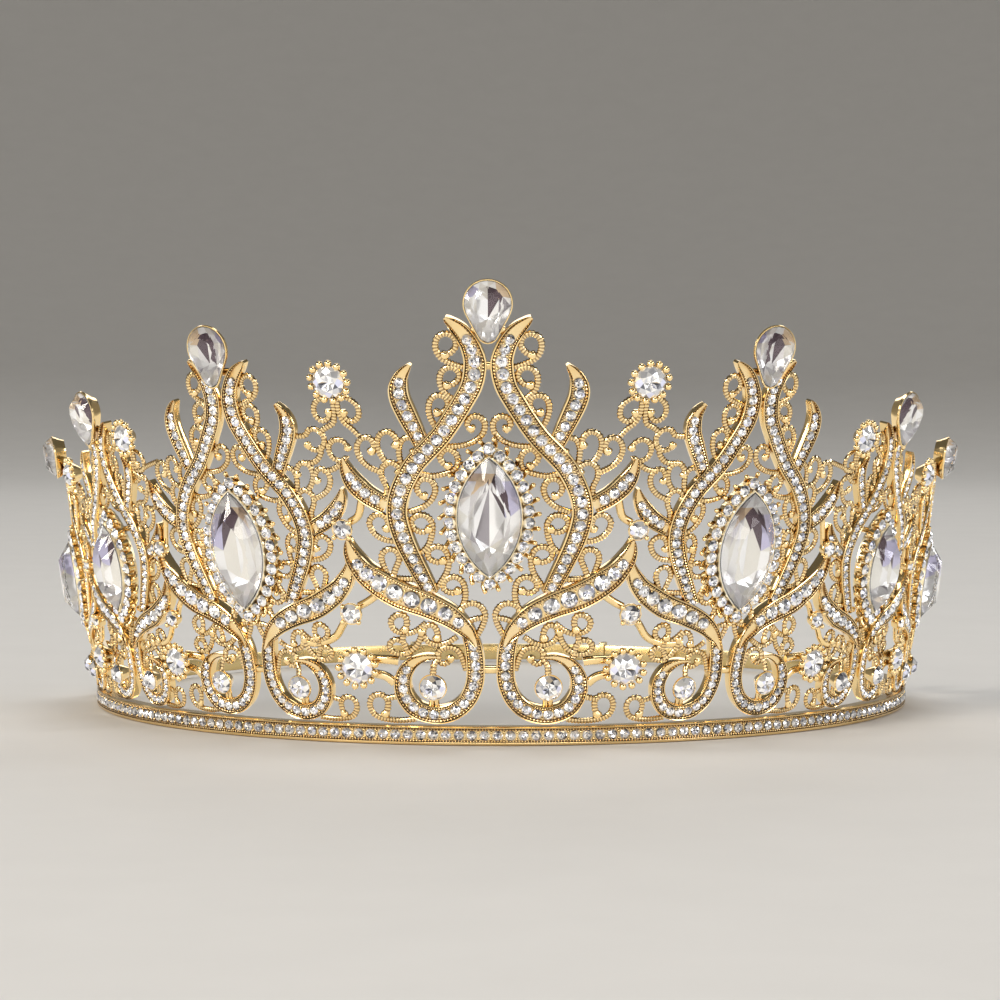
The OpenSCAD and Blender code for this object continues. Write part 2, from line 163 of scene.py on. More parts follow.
# Wire curls of one side of the middle panel, as across and up, from the knob end to the foot
CURLS = {
    "top_1": [(7.4, 66.2), (6.1, 66.6), (5.1, 67.8), (5.4, 69.2), (6.8, 69.8), (8.1, 69), (8.3, 67.3),
        (7.4, 65.8), (5.8, 64.9), (4.0, 64.3)],
    "top_2": [(7.1, 61.3), (5.6, 61.6), (4.6, 62.7), (5.0, 63.9), (6.3, 64.3), (7.5, 63.4), (7.7, 61.9),
        (7.1, 60.3), (5.9, 59.2), (4.9, 58.7)],
    "top_3": [(8.7, 56.9), (7.2, 57), (6.4, 58.2), (6.9, 59.4), (8.2, 59.7), (9.3, 58.8), (9.5, 57.2),
        (9.0, 55.4), (8.0, 53.9)],
    "inner_top": [(2.2, 54.1), (3.3, 54.6), (3.2, 55.8), (1.9, 56.3), (0.7, 55.3), (0.9, 53.5), (2.3, 52.1),
        (4.3, 51.4), (6.8, 51.2)],
    "inner_2": [(5.9, 47.8), (7.2, 48.4), (7.8, 49.6), (6.8, 50.8), (5.4, 50.2), (4.9, 48.7), (5.6, 47.3),
        (7.3, 46.6), (9.2, 46.3), (11.0, 46.7)],
    "halo_1": [(9.8, 42.9), (11.1, 43.2), (11.6, 44.6), (10.8, 45.7), (9.4, 45.6), (8.6, 44.2), (9.1, 42.5),
        (10.6, 41.1), (12.9, 40.2)],
    "halo_2": [(9.2, 37.7), (10.6, 36.9), (12, 37.3), (12.6, 38.5), (11.7, 39.6), (10.2, 39.6), (9.2, 38.3),
        (9.3, 36.2), (10, 34.4), (11.4, 33.0)],
    "halo_3": [(6.9, 32.3), (8.3, 31.8), (9.7, 32.4), (9.9, 33.6), (8.6, 34.4), (7.2, 33.9), (6.6, 32.4),
        (6.8, 30.4), (7.9, 28.4), (9.0, 26.8)],
    "halo_4": [(4.6, 27.2), (6.1, 26.6), (7.4, 27.2), (7.3, 28.5), (5.9, 29.3), (4.5, 28.6), (4.0, 27),
        (4.1, 25.2), (4.9, 23.2)],
    "bow": [(5.0, 22.9), (4.4, 24.2), (3.0, 24.8), (1.6, 24.3), (0.85, 22.9), (1.2, 21.1), (2.4, 18.8)],
    "bow_bar": [(0.9, 22.4), (2.2, 22.2), (3.9, 21.6)],
    "under_1": [(14.0, 19.6), (13.5, 21.2), (13.9, 22.5), (15.2, 22.6), (16.2, 21.5), (15.7, 20.1),
        (14, 19.4), (12.1, 19.9), (10.4, 21.3)],
    "under_2": [(8.7, 18.2), (8.5, 19.6), (9.2, 20.9), (10.4, 20.8), (10.9, 19.5), (10.2, 18.2),
        (8.6, 17.6), (6.9, 18), (5.4, 19.0)],
    "under_3": [(11, 20.4), (11.4, 18.4), (12.6, 16.7), (14.2, 15.9), (15.9, 16.2), (16.5, 17.3),
        (15.6, 18.3), (14.3, 18), (13.7, 16.9), (13.4, 15.4)],
    "under_link": [(14.1, 19.4), (14.3, 18.0)],
    "scroll_top": [(6.4, 15.9), (6.6, 14.9), (7.6, 14.3), (8.5, 15.0), (8.4, 16.4), (7.0, 17.2),
        (5.5, 16.8), (4.6, 15.4), (3.9, 13.2)],
    "scroll_link": [(9.2, 12.6), (9.1, 14.2), (8.5, 15.2), (8.5, 16.2)],
    "foot": [(17.5, 4.9), (16.9, 6.4), (17.0, 7.9), (18.1, 8.7), (19.5, 8.3), (20, 6.8), (19.2, 5.2),
        (17.4, 4.5), (14.8, 4.3), (12.2, 4.6)],
    "foot_bar": [(17.2, 8.1), (15.4, 8.5)],
    "outer_1": [(16.9, 36.9), (16.3, 38.1), (16.9, 39.4), (18.3, 39.7), (19.5, 38.5), (18.9, 36.7),
        (17.2, 35.5), (14.8, 35.1)],
    "outer_2": [(15.9, 28.6), (15.2, 30.6), (14.6, 32.4), (15.4, 33.7), (16.8, 33.7), (17.6, 32.4),
        (17.0, 30.3), (16.3, 28.8)],
    "outer_2_bar": [(11.6, 28.9), (14, 28.9), (16.4, 29.2)],
    "outer_3": [(14.5, 46.4), (14.4, 47.7), (15.8, 48.5), (17.2, 47.6), (17.3, 46), (16.5, 44.2),
        (16.6, 42.0)],
    "outer_4": [(12.3, 49.9), (11.4, 51.2), (12.2, 52.6), (13.7, 52.4), (14.4, 50.9), (14.2, 48.8),
        (13.4, 47.4)],
    "outer_5": [(15, 50.9), (14.8, 52.4), (16, 53.6), (17.5, 53.1), (18, 51.5), (17.5, 49.8), (16.4, 48.4)],
    "outer_6": [(19.2, 49.9), (18.5, 51.2), (19.2, 52.5), (20.6, 52.4), (21.4, 51), (21, 49.3),
        (19.6, 47.8), (17.3, 46.7)],
}


# Curls beside the large stone, for which the narrow panels have no room
BESIDE = ("halo_1", "halo_2", "halo_3", "halo_4", "inner_2")

# Smooth bars between the long strips, behind the drop and between the scrolls: half their length and how
# far up
BARS = ((0.7, 64.6), (2.6, 70.4), (1.4, 13.4))

# The sides of each panel kind on which the next panel out has its gap stones and its low round stone
OUTER_SIDES = ((1, -1), (1,), (1,), ())

# How far from a strip's two ends its small stones begin and stop, and the radius of those in the flame
STONE_ROOM = {"flame": (4.5, 2.6), "scroll": (2.2, 2.2), "long": (5.0, 0.2), "side": (3.4, 0.3),
              "upper": (3.6, 0.6)}
FLAME_STONE = 1.46

# The plate round a boat-shaped stone: how far outside the stone and how far out
PLATE = [(0.0, 0.5), (1.5, 0.5), (1.7, 1.2), (0.4, 1.9), (0.16, 2.9), (0.06, 2.9)]

# Where the back of a stone shows a painted coloured reflection: from and to across, from and to up, as shares of
# its half sizes, and the place of the colour on the foil's ramp
BOAT_TINTS = [(0.0, 0.5, 0.05, 0.6, 0.97), (-0.5, 0.0, 0.3, 0.7, 0.89), (0.35, 0.8, 0.1, 0.6, 0.93)]
DROP_TINTS = [(0.0, 0.4, -0.2, 0.5, 0.97), (0.4, 0.9, 0.3, 0.9, 0.89), (-0.9, -0.5, 0.2, 0.8, 0.93)]


# Numbers and colours that the sidebar shows

class CROWN_PG_sizes(bpy.types.PropertyGroup):
    """Sizes of the repeated details."""

    wire_radius: bpy.props.FloatProperty(
        name="Wire radius", description="Radius of the curled wires", default=0.62 * MM, unit="LENGTH")
    # The real ridges are about 0.42 mm apart, which is too fine to show, so they are drawn coarser
    ridge_pitch: bpy.props.FloatProperty(
        name="Ridge pitch", description="From one ridge of a wire to the next", default=0.52 * MM,
        unit="LENGTH")
    pave_radius: bpy.props.FloatProperty(
        name="Small stone radius", description="Radius of the small stones in the strips", default=1.1 * MM,
        unit="LENGTH")
    halo_radius: bpy.props.FloatProperty(
        name="Halo stone radius", description="Radius of the stones round a boat-shaped stone",
        default=0.98 * MM, unit="LENGTH")
    bead_radius: bpy.props.FloatProperty(
        name="Bead radius", description="Radius of the beads that hold the small stones", default=0.22 * MM,
        unit="LENGTH")
    rail_width: bpy.props.FloatProperty(
        name="Rail width", description="Width of the double rail at a strip's edge", default=0.8 * MM,
        unit="LENGTH")


class CROWN_PG_colours(bpy.types.PropertyGroup):
    """Colours of the metal, as sRGB."""

    gold: bpy.props.StringProperty(name="Gold", description="Colour of the plated casting", default="FCE3B0")
    # The colour toward which painted shade turns the gold in crevices and grooves
    gold_shade: bpy.props.StringProperty(
        name="Deep gold", description="Colour of the gold in crevices", default="6A3604")
    gold_pale: bpy.props.StringProperty(
        name="Pale gold", description="Colour of the polished floors", default="FFF6E0")
    back: bpy.props.StringProperty(
        name="Back band", description="Colour of the plain back band", default="E8D6A4")


# Small helpers

def linear(text):
    """An sRGB hex colour as linear RGBA."""
    channels = [int(text[i : i + 2], 16) / 255 for i in (0, 2, 4)]
    return [c / 12.92 if c <= 0.04045 else ((c + 0.055) / 1.055) ** 2.4 for c in channels] + [1.0]


def deselect():
    for o in bpy.context.selected_objects:
        o.select_set(False)


def activate(*objs):
    deselect()
    for o in objs:
        o.select_set(True)
    bpy.context.view_layer.objects.active = objs[0]


def join(objs, name):
    """Joins mesh objects into one that has the name."""
    activate(*objs)
    if len(objs) > 1:
        bpy.ops.object.join()
    joined = bpy.context.view_layer.objects.active
    joined.name = name
    joined.data.name = name
    return joined


def mesh_object(name, verts, faces, mats, slots=None, uvs=None, smooth=None):
    """A mesh object from arrays. slots holds each face's material number and uvs each corner's place."""
    mesh = bpy.data.meshes.new(name)
    mesh.from_pydata(np.asarray(verts, float).tolist(), [], faces)
    for m in mats:
        mesh.materials.append(m)
    if slots is not None:
        mesh.polygons.foreach_set("material_index", np.asarray(slots, np.int32))
    layer = mesh.uv_layers.new(name="UVMap")
    if uvs is not None:
        layer.data.foreach_set("uv", np.asarray(uvs, np.float32).ravel())
    mesh.update()
    obj = bpy.data.objects.new(name, mesh)
    bpy.context.scene.collection.objects.link(obj)
    if smooth is not None:
        activate(obj)
        bpy.ops.object.shade_smooth_by_angle(angle=math.radians(smooth))
    return obj


def points_of(obj):
    co = np.empty(len(obj.data.vertices) * 3, np.float32)
    obj.data.vertices.foreach_get("co", co)
    return co.reshape(-1, 3).astype(float)


def set_points(obj, co):
    obj.data.vertices.foreach_set("co", np.asarray(co, np.float32).ravel())
    obj.data.update()


# The crest's surface

def lean(phi):
    return np.radians(LEAN_FRONT - LEAN_DROP * np.sin(phi) ** 2)


def radius(phi, up):
    return FOOT_OUT + (up - CREST_FOOT) * np.sin(lean(phi))


def bend(angle, flat):
    """Flat mm points, as across, up and out, laid on the crest at the angle."""
    flat = np.asarray(flat, float)
    phi = angle + flat[:, 0] / radius(angle, flat[:, 1])
    a = lean(phi)
    up = flat[:, 1] - CREST_FOOT
    rho = FOOT_OUT + up * np.sin(a) + flat[:, 2] * np.cos(a)
    z = CREST_FOOT + up * np.cos(a) - flat[:, 2] * np.sin(a)
    return np.stack([rho * np.sin(phi), -rho * np.cos(phi), z], 1) * MM


def stand(angle, across, up):
    """The matrix that stands a rigid mm piece on the crest: x across, y up and z out."""
    phi = angle + across / radius(angle, up)
    a = lean(phi)
    ex = Vector((math.cos(phi), math.sin(phi), 0))
    ez = Vector((math.cos(a) * math.sin(phi), -math.cos(a) * math.cos(phi), -math.sin(a)))
    ey = ez.cross(ex)
    at = bend(angle, [(across, up, 0.0)])[0]
    m = Matrix((ex, ey, ez)).transposed().to_4x4()
    return Matrix.Translation(Vector(at)) @ m @ Matrix.Scale(MM, 4)


def real(p, across, up):
    """Template mm to the panel's own flat mm."""
    return PANELS[p].spread * across, CREST_FOOT + PANELS[p].rise * (up - CREST_FOOT)


def smooth_path(points, step):
    """A Catmull-Rom path through points of any width, with a sample about every step mm."""
    pts = np.asarray(points, float)
    ext = np.vstack([2 * pts[0] - pts[1], pts, 2 * pts[-1] - pts[-2]])
    out = []
    for i in range(len(pts) - 1):
        p0, p1, p2, p3 = ext[i : i + 4]
        n = max(2, int(round(np.linalg.norm((p2 - p1)[:2]) / step)))
        t = np.arange(n)[:, None] / n
        out.append(0.5 * (2 * p1 + (p2 - p0) * t + (2 * p0 - 5 * p1 + 4 * p2 - p3) * t**2
                          + (3 * p1 - p0 - 3 * p2 + p3) * t**3))
    out.append(pts[-1:])
    return np.vstack(out)


def lengths(points):
    """How far along its path each point lies."""
    return np.concatenate([[0], np.cumsum(np.linalg.norm(np.diff(points, axis=0), axis=1))])


def even_path(points, step):
    """The same path with samples evenly spaced."""
    fine = smooth_path(points, step / 3)
    length = lengths(fine[:, :2])
    n = max(2, int(round(length[-1] / step)))
    at = np.linspace(0, length[-1], n + 1)
    return np.stack([np.interp(at, length, fine[:, k]) for k in range(fine.shape[1])], 1)


def edges_of(path):
    """Left and right edges of a path of across, up and width."""
    d = np.gradient(path[:, :2], axis=0)
    d /= np.linalg.norm(d, axis=1)[:, None] + 1e-12
    v = np.stack([-d[:, 1], d[:, 0]], 1) * path[:, 2:3] / 2
    return path[:, :2] + v, path[:, :2] - v


# Strip sections, from the outer edge inward: share of the rail's width, depth below the front, finish
RIM = [(0.0, 0.24, 0), (0.06, 0.07, 0), (0.2, 0.0, 0), (0.35, 0.05, 0), (0.45, 0.3, 1), (0.54, 0.08, 1),
       (0.72, 0.0, 1), (0.9, 0.08, 1), (1.0, 0.46, 2)]


class Strip:
    """A stone-set strip of one panel in flat mm: its middle, its unit normal and its half width."""

    def __init__(self, middle, normal, half, back, front):
        self.middle = middle
        self.normal = normal
        self.half = half
        self.back = back
        self.front = front
        self.length = lengths(middle)

    def inside(self, point):
        """How far a flat point lies inside the strip's edge, in mm."""
        d = np.linalg.norm(self.middle - np.asarray(point[:2]), axis=1)
        i = int(d.argmin())
        return self.half[i] - d[i]


def panel_strip(p, template, back, front, scaled=True):
    path = smooth_path(template, 0.7)
    left, right = edges_of(path)
    if scaled:
        left = np.stack(real(p, left[:, 0], left[:, 1]), 1)
        right = np.stack(real(p, right[:, 0], right[:, 1]), 1)
    middle = (left + right) / 2
    across = left - right
    half = np.linalg.norm(across, axis=1) / 2
    return Strip(middle, across / (2 * half[:, None]), half, back, front)


def trim(strip, others, keep):
    """Drops the ends of a strip that lie further than keep mm inside another strip."""
    deep = np.array([max(o.inside(m) for o in others) for m in strip.middle]) > keep
    a, b = 0, len(deep)
    while a < b and deep[a]:
        a += 1
    while b > a and deep[b - 1]:
        b -= 1
    return Strip(strip.middle[a:b], strip.normal[a:b], strip.half[a:b], strip.back, strip.front)


def rail_of(half, rail):
    return np.minimum(rail, 0.46 * half)


def strip_rows(strip, rail):
    """The strip's sections as rows of points, and the finish of each side of the section."""
    w = strip.half
    r = rail_of(w, rail)
    depth = np.minimum(1.0, w / 0.9)
    right = [(w - 0.12 * r, strip.back), (w, strip.back + 0.3)]
    right += [(w - share * r, strip.front - down * depth) for share, down, f in RIM]
    rows = right + [(-u, z) for u, z in reversed(right)]
    sides = [0, 0] + [f for share, down, f in RIM[:-1]]
    finish = sides + [2] + sides[::-1] + [0]
    points = np.empty((len(w), len(rows), 3))
    for k, (u, z) in enumerate(rows):
        points[:, k, :2] = strip.middle + strip.normal * u[:, None]
        points[:, k, 2] = z
    return points, finish


def strip_object(strip, rail, angle, name):
    """A strip on the crest at the angle. Its corner UVs run round the section and, in mm, along the strip."""
    rows, finish = strip_rows(strip, rail)
    n, m = rows.shape[:2]
    faces, slots, uvs = [], [], []
    for i in range(n - 1):
        a, b = strip.length[i], strip.length[i + 1]
        for k in range(m):
            k1 = (k + 1) % m
            faces.append((i * m + k, i * m + k1, (i + 1) * m + k1, (i + 1) * m + k))
            slots.append(finish[k])
            u0, u1 = k / m, (k + 1) / m
            uvs += [(u0, a), (u1, a), (u1, b), (u0, b)]
    faces += [tuple(reversed(range(m))), tuple((n - 1) * m + k for k in range(m))]
    slots += [0, 0]
    uvs += [(0, 0)] * (2 * m)
    # Smoothed while flat, for the bend is too slight to change which edges are sharp
    mats = [materials()[key] for key in ("rim", "notched", "floor")]
    o = mesh_object(name, rows.reshape(-1, 3), faces, mats, slots, uvs, 40)
    set_points(o, bend(angle, points_of(o)))
    return o


# Repeated small shapes, each modelled once at unit size

def round_outline(n, r=1.0):
    return [(r * math.cos(2 * math.pi * i / n), r * math.sin(2 * math.pi * i / n)) for i in range(n)]


def brilliant(outline, crown, share, star=None):
    """The front of a cut stone over its girdle: kites, stars and girdle facets round a table.

    With star, a height, the table is replaced by a star of facets that sinks to that height at the middle. It
    stands for the foiled back that shows through a stone too small to look into.
    """
    n = len(outline)
    mid_share = (1 + share) / 2 - 0.02
    verts = [(x, y, 0.0) for x, y in outline]
    verts += [(x * mid_share, y * mid_share, crown * 0.6) for x, y in outline[1::2]]
    verts += [(x * share, y * share, crown) for x, y in outline[0::2]]
    half = n // 2

    def mid(i):
        return n + (i % n) // 2

    def top(i):
        return n + half + (i % n) // 2

    faces = []
    for i in range(0, n, 2):
        faces.append((i, mid(i + 1), top(i), mid(i - 1)))
        faces.append((top(i), mid(i + 1), top(i + 2)))
        faces.append((i, i + 1, mid(i + 1)))
        faces.append((i + 1, (i + 2) % n, mid(i + 1)))
    if star is None:
        faces.append(tuple(top(i) for i in range(0, n, 2)))
        return verts, faces
    first = len(verts)
    verts += [(x * share * 0.55, y * share * 0.55, crown * 0.9) for x, y in outline[1::2]]
    verts.append((0.0, 0.0, star))
    for i in range(0, n, 2):
        here = first + i // 2
        before = first + (i // 2 - 1) % half
        faces.append((top(i), top(i + 2), here))
        faces.append((top(i), here, first + half))
        faces.append((top(i), first + half, before))
    return verts, faces


def pavilion(outline, depth, keel=(0.0, 0.0), inset=1.0):
    """The faceted back of a stone, open at the girdle. Its ridge runs between the two heights of keel."""
    n = len(outline)
    verts = [(x * inset, y * inset, 0.0) for x, y in outline]
    low = []
    for i in range(1, n, 2):
        x, y = outline[i]
        nearest = max(keel[0], min(keel[1], y))
        low.append((x * 0.5 * inset, (y * inset + nearest) / 2, -depth * 0.6))
    verts += low
    top = len(verts)
    verts.append((0.0, keel[1], -depth))
    verts.append((0.0, keel[0], -depth))
    middle = sum(keel) / 2

    def li(i):
        return n + (i % n) // 2

    def tip(i):
        return top if outline[i % n][1] >= middle else top + 1

    faces = []
    for i in range(0, n, 2):
        faces.append((i, li(i - 1), li(i + 1)))
        faces.append((i, li(i + 1), (i + 1) % n))
        faces.append(((i + 1) % n, li(i + 1), (i + 2) % n))
        a, b = tip(i - 1), tip(i + 1)
        faces.append((li(i - 1), a, li(i + 1)))
        if a != b:
            faces.append((li(i + 1), a, b))
    return verts, faces


def small_cut():
    return brilliant(round_outline(12), 0.42, 0.52, star=0.1)


def take_shape(o):
    """The points and faces of an object, which is then removed."""
    shape = points_of(o), [tuple(f.vertices) for f in o.data.polygons]
    bpy.data.objects.remove(o)
    return shape


def bead_shape():
    """A low round bead without its hidden back, from a sphere."""
    deselect()
    bpy.ops.mesh.primitive_uv_sphere_add(segments=8, ring_count=6, radius=1.0)
    o = bpy.context.active_object
    bpy.ops.object.mode_set(mode="EDIT")
    bpy.ops.mesh.select_all(action="DESELECT")
    bpy.ops.object.mode_set(mode="OBJECT")
    for v in o.data.vertices:
        v.select = v.co.z < -0.6
    bpy.ops.object.mode_set(mode="EDIT")
    bpy.ops.mesh.select_mode(type="VERT")
    bpy.ops.mesh.delete(type="VERT")
    bpy.ops.object.mode_set(mode="OBJECT")
    bpy.ops.object.shade_smooth()
    return take_shape(o)


def lathe(profile, sides):
    """A ring spun round the Z axis from its section of radius and height."""
    n = len(profile)
    mesh = bpy.data.meshes.new("section")
    mesh.from_pydata([(r, 0, z) for r, z in profile], [(k, (k + 1) % n) for k in range(n)], [])
    o = bpy.data.objects.new("section", mesh)
    bpy.context.scene.collection.objects.link(o)
    activate(o)
    bpy.ops.object.mode_set(mode="EDIT")
    bpy.ops.mesh.select_all(action="SELECT")
    bpy.ops.mesh.spin(steps=sides, angle=2 * math.pi, center=(0, 0, 0), axis=(0, 0, 1))
    bpy.ops.mesh.select_all(action="SELECT")
    bpy.ops.mesh.remove_doubles(threshold=0.001)
    bpy.ops.object.mode_set(mode="OBJECT")
    return take_shape(o)


def tilted(m, tilt, spin, size):
    """The matrix m tipped about its own X and Y, turned about its Z and scaled."""
    m = m @ Matrix.Rotation(tilt[0], 4, "X") @ Matrix.Rotation(tilt[1], 4, "Y")
    return m @ Matrix.Rotation(spin, 4, "Z") @ Matrix.Scale(size, 4)


def spot(angle, x, y, z, size, tilt=(0.0, 0.0), spin=0.0):
    """The matrix of a small shape on the crest at flat mm x, y, z."""
    return tilted(stand(angle, x, y) @ Matrix.Translation((0, 0, z)), tilt, spin, size)


# Materials

def add(tree, kind, inputs=(), **settings):
    """Adds a node with its settings. Each input, by name or number, gets a value or a link from a socket."""
    node = tree.nodes.new(kind)
    for key, value in settings.items():
        setattr(node, key, value)
    for key, value in dict(inputs).items():
        if isinstance(value, bpy.types.NodeSocket):
            tree.links.new(value, node.inputs[key])
        else:
            node.inputs[key].default_value = value
    return node


def new_material(name):
    m = bpy.data.materials.new(name)
    m.use_nodes = True
    tree = m.node_tree
    return m, tree, tree.nodes["Principled BSDF"]


def polish(tree, bsdf, scale, detail, low, high):
    """Lets a noise vary the roughness from low to high. Returns the noise's socket."""
    where = add(tree, "ShaderNodeTexCoord")
    noise = add(tree, "ShaderNodeTexNoise", {"Vector": where.outputs["Object"], "Scale": scale,
                                             "Detail": detail})
    gloss = add(tree, "ShaderNodeMapRange", {"Value": noise.outputs["Fac"], "To Min": low, "To Max": high})
    tree.links.new(gloss.outputs["Result"], bsdf.inputs["Roughness"])
    return noise.outputs["Fac"]


def facet_tint(tree, bsdf, steps):
    """Gives each facet the colour of the last step that its own random number has passed."""
    facet = add(tree, "ShaderNodeAttribute", attribute_name="facet")
    tint = add(tree, "ShaderNodeValToRGB", {"Fac": facet.outputs["Fac"]})
    ramp = tint.color_ramp
    ramp.interpolation = "CONSTANT"
    ramp.elements[0].color = linear(steps[0][1])
    ramp.elements[1].position = steps[-1][0]
    ramp.elements[1].color = linear(steps[-1][1])
    for at, text in steps[1:-1]:
        ramp.elements.new(at).color = linear(text)
    tree.links.new(tint.outputs["Color"], bsdf.inputs["Base Color"])


def gold(name, base, deep, rough, notch=0.0, crevice=1.3, ridged=False):
    """Cast metal under bright gold plate, with painted shade: warmer and darker, toward the shade colour deep,
    where metal faces metal and in concave grooves, and brighter on sharp edges, partly wear and partly painted
    highlight.

    crevice is how far in mm a facing wall reaches to paint shade. notch is the pitch in mm of cuts along the
    piece, whose troughs get painted shade, and ridged paints shade into the grooves of a wire.
    """
    m, tree, bsdf = new_material(name)
    where = add(tree, "ShaderNodeTexCoord")
    place = where.outputs["Object"]
    # Clouds of a few mm vary colour and polish, and a grain of 0.4 mm is the skin of the casting
    cloud = add(tree, "ShaderNodeTexNoise", {"Vector": place, "Scale": 180.0, "Detail": 3.0,
                                             "Roughness": 0.55}).outputs["Fac"]
    grain = add(tree, "ShaderNodeTexNoise", {"Vector": place, "Scale": 2600.0, "Detail": 2.0}).outputs["Fac"]
    # Painted shade: within crevice mm of other metal, ambient occlusion pulls the colour toward the shade colour
    # deep
    near = add(tree, "ShaderNodeAmbientOcclusion", {"Distance": crevice * MM}, samples=4)
    shade = add(tree, "ShaderNodeMapRange", {"Value": near.outputs["AO"], "From Min": 0.2, "From Max": 0.88})
    # Painted shade in concave grooves, where pointiness is low; the same pointiness brightens sharp edges below
    pointiness_wear_and_shade = add(tree, "ShaderNodeNewGeometry").outputs["Pointiness"]
    groove = add(tree, "ShaderNodeMapRange", {"Value": pointiness_wear_and_shade, "From Min": 0.4, "From Max": 0.5})
    lit = [shade.outputs["Result"], groove.outputs["Result"]]
    # Painted shade in the grooves between a wire's ridges
    if ridged:
        level = add(tree, "ShaderNodeAttribute", attribute_name="ridge")
        high = add(tree, "ShaderNodeMapRange", {"Value": level.outputs["Fac"], "From Min": 0.15,
                                                "From Max": 0.75})
        lit.append(high.outputs["Result"])
    # Painted shade in the troughs of the notches, besides their bump
    if notch:
        split = add(tree, "ShaderNodeSeparateXYZ", {"Vector": where.outputs["UV"]})
        turn = add(tree, "ShaderNodeMath", {0: split.outputs["Y"], 1: 2 * math.pi / notch},
                   operation="MULTIPLY")
        wave = add(tree, "ShaderNodeMath", {0: turn.outputs["Value"]}, operation="SINE").outputs["Value"]
        cut = add(tree, "ShaderNodeMapRange", {"Value": wave, "From Min": -0.7, "From Max": 0.3})
        lit.append(cut.outputs["Result"])
    # All painted shade factors multiplied: 1 keeps the base colour, 0 gives the shade colour deep
    unshaded_share = lit[0]
    for more in lit[1:]:
        both = add(tree, "ShaderNodeMath", {0: unshaded_share, 1: more}, operation="MULTIPLY")
        unshaded_share = both.outputs["Value"]
    tone = add(tree, "ShaderNodeMix", {"Factor": unshaded_share, "A": linear(deep), "B": linear(base)},
               data_type="RGBA")
    # Sharp edges brightened toward cream, partly wear and partly painted highlight
    edge = add(tree, "ShaderNodeMapRange", {"Value": pointiness_wear_and_shade, "From Min": 0.5, "From Max": 0.62, "To Max": 0.45})
    bright = add(tree, "ShaderNodeMix", {"Factor": edge.outputs["Result"], "A": tone.outputs["Result"],
                                         "B": linear("FFF0C8")}, data_type="RGBA")
    blotch = add(tree, "ShaderNodeMix", {"Factor": cloud, "A": bright.outputs["Result"],
                                         "B": linear("F2E2B8")}, data_type="RGBA", blend_type="MULTIPLY")
    gloss = add(tree, "ShaderNodeMapRange", {"Value": cloud, "To Min": rough * 0.75, "To Max": rough * 1.3})
    normal = add(tree, "ShaderNodeBump", {"Height": grain, "Strength": 0.25, "Distance": 0.03 * MM})
    if notch:
        normal = add(tree, "ShaderNodeBump", {"Height": wave, "Normal": normal.outputs["Normal"],
                                              "Strength": 0.8, "Distance": 0.1 * MM})
    tree.links.new(blotch.outputs["Result"], bsdf.inputs["Base Color"])
    tree.links.new(gloss.outputs["Result"], bsdf.inputs["Roughness"])
    tree.links.new(normal.outputs["Normal"], bsdf.inputs["Normal"])
    bsdf.inputs["Metallic"].default_value = 1.0
    return m


def small_stone_material():
    """Clear cut glass with a foil back, too small to look into: each facet is painted a grey, from dark to
    white, or a faint tint, as painted reflections of a cut stone.
    """
    m, tree, bsdf = new_material("foiled_glass_small")
    # Painted reflections: the facets' greys and faint lilac and amber stand for what a cut stone reflects
    facet_tint(tree, bsdf, ((0.0, "686A72"), (0.1, "9A9CA4"), (0.22, "CFD0D4"), (0.4, "F4F3EF"),
                            (0.6, "FFFFFF"), (0.9, "DDE0F6"), (0.97, "F6E4C8")))
    smear = polish(tree, bsdf, 900.0, 2.0, 0.02, 0.1)
    bump = add(tree, "ShaderNodeBump", {"Height": smear, "Strength": 0.15, "Distance": 0.02 * MM})
    tree.links.new(bump.outputs["Normal"], bsdf.inputs["Normal"])
    bsdf.inputs["Metallic"].default_value = 0.65
    bsdf.inputs["Coat Weight"].default_value = 0.4
    bsdf.inputs["Coat Roughness"].default_value = 0.02
    return m


def glass_material():
    """The clear body of a large stone, with faint smears that soften its polish."""
    m, tree, bsdf = new_material("clear_glass")
    polish(tree, bsdf, 500.0, 3.0, 0.0, 0.012)
    bsdf.inputs["Base Color"].default_value = linear("FFFFFF")
    bsdf.inputs["Transmission Weight"].default_value = 1.0
    bsdf.inputs["IOR"].default_value = 1.5
    return m


def foil_material():
    """The silvered back of a large stone, seen through the glass. Its facets are painted whites, greys, a dark
    grey and faint lilac and amber: painted reflections, some coloured.
    """
    m, tree, bsdf = new_material("silver_foil")
    facet_tint(tree, bsdf, ((0.0, "FFFFFF"), (0.25, "EFECE4"), (0.45, "FFFFFF"), (0.66, "DEDCDC"),
                            (0.81, "A8A3A8"), (0.87, "F0D6B4"), (0.92, "CFCCEA"), (0.96, "5E4E56")))
    speck = polish(tree, bsdf, 1500.0, 2.0, 0.1, 0.2)
    bump = add(tree, "ShaderNodeBump", {"Height": speck, "Strength": 0.02, "Distance": 0.01 * MM})
    tree.links.new(bump.outputs["Normal"], bsdf.inputs["Normal"])
    bsdf.inputs["Metallic"].default_value = 0.55
    return m


def floor_material():
    """A matte pale paper floor with a faint tooth."""
    m, tree, bsdf = new_material("pale_floor")
    where = add(tree, "ShaderNodeTexCoord")
    tooth = add(tree, "ShaderNodeTexNoise", {"Vector": where.outputs["Object"], "Scale": 60.0, "Detail": 4.0})
    tone = add(tree, "ShaderNodeMix", {"Factor": tooth.outputs["Fac"], "A": linear("D2D0CC"),
                                       "B": linear("D8D6D2")}, data_type="RGBA")
    tree.links.new(tone.outputs["Result"], bsdf.inputs["Base Color"])
    bsdf.inputs["Roughness"].default_value = 0.7
    return m


_made = {}


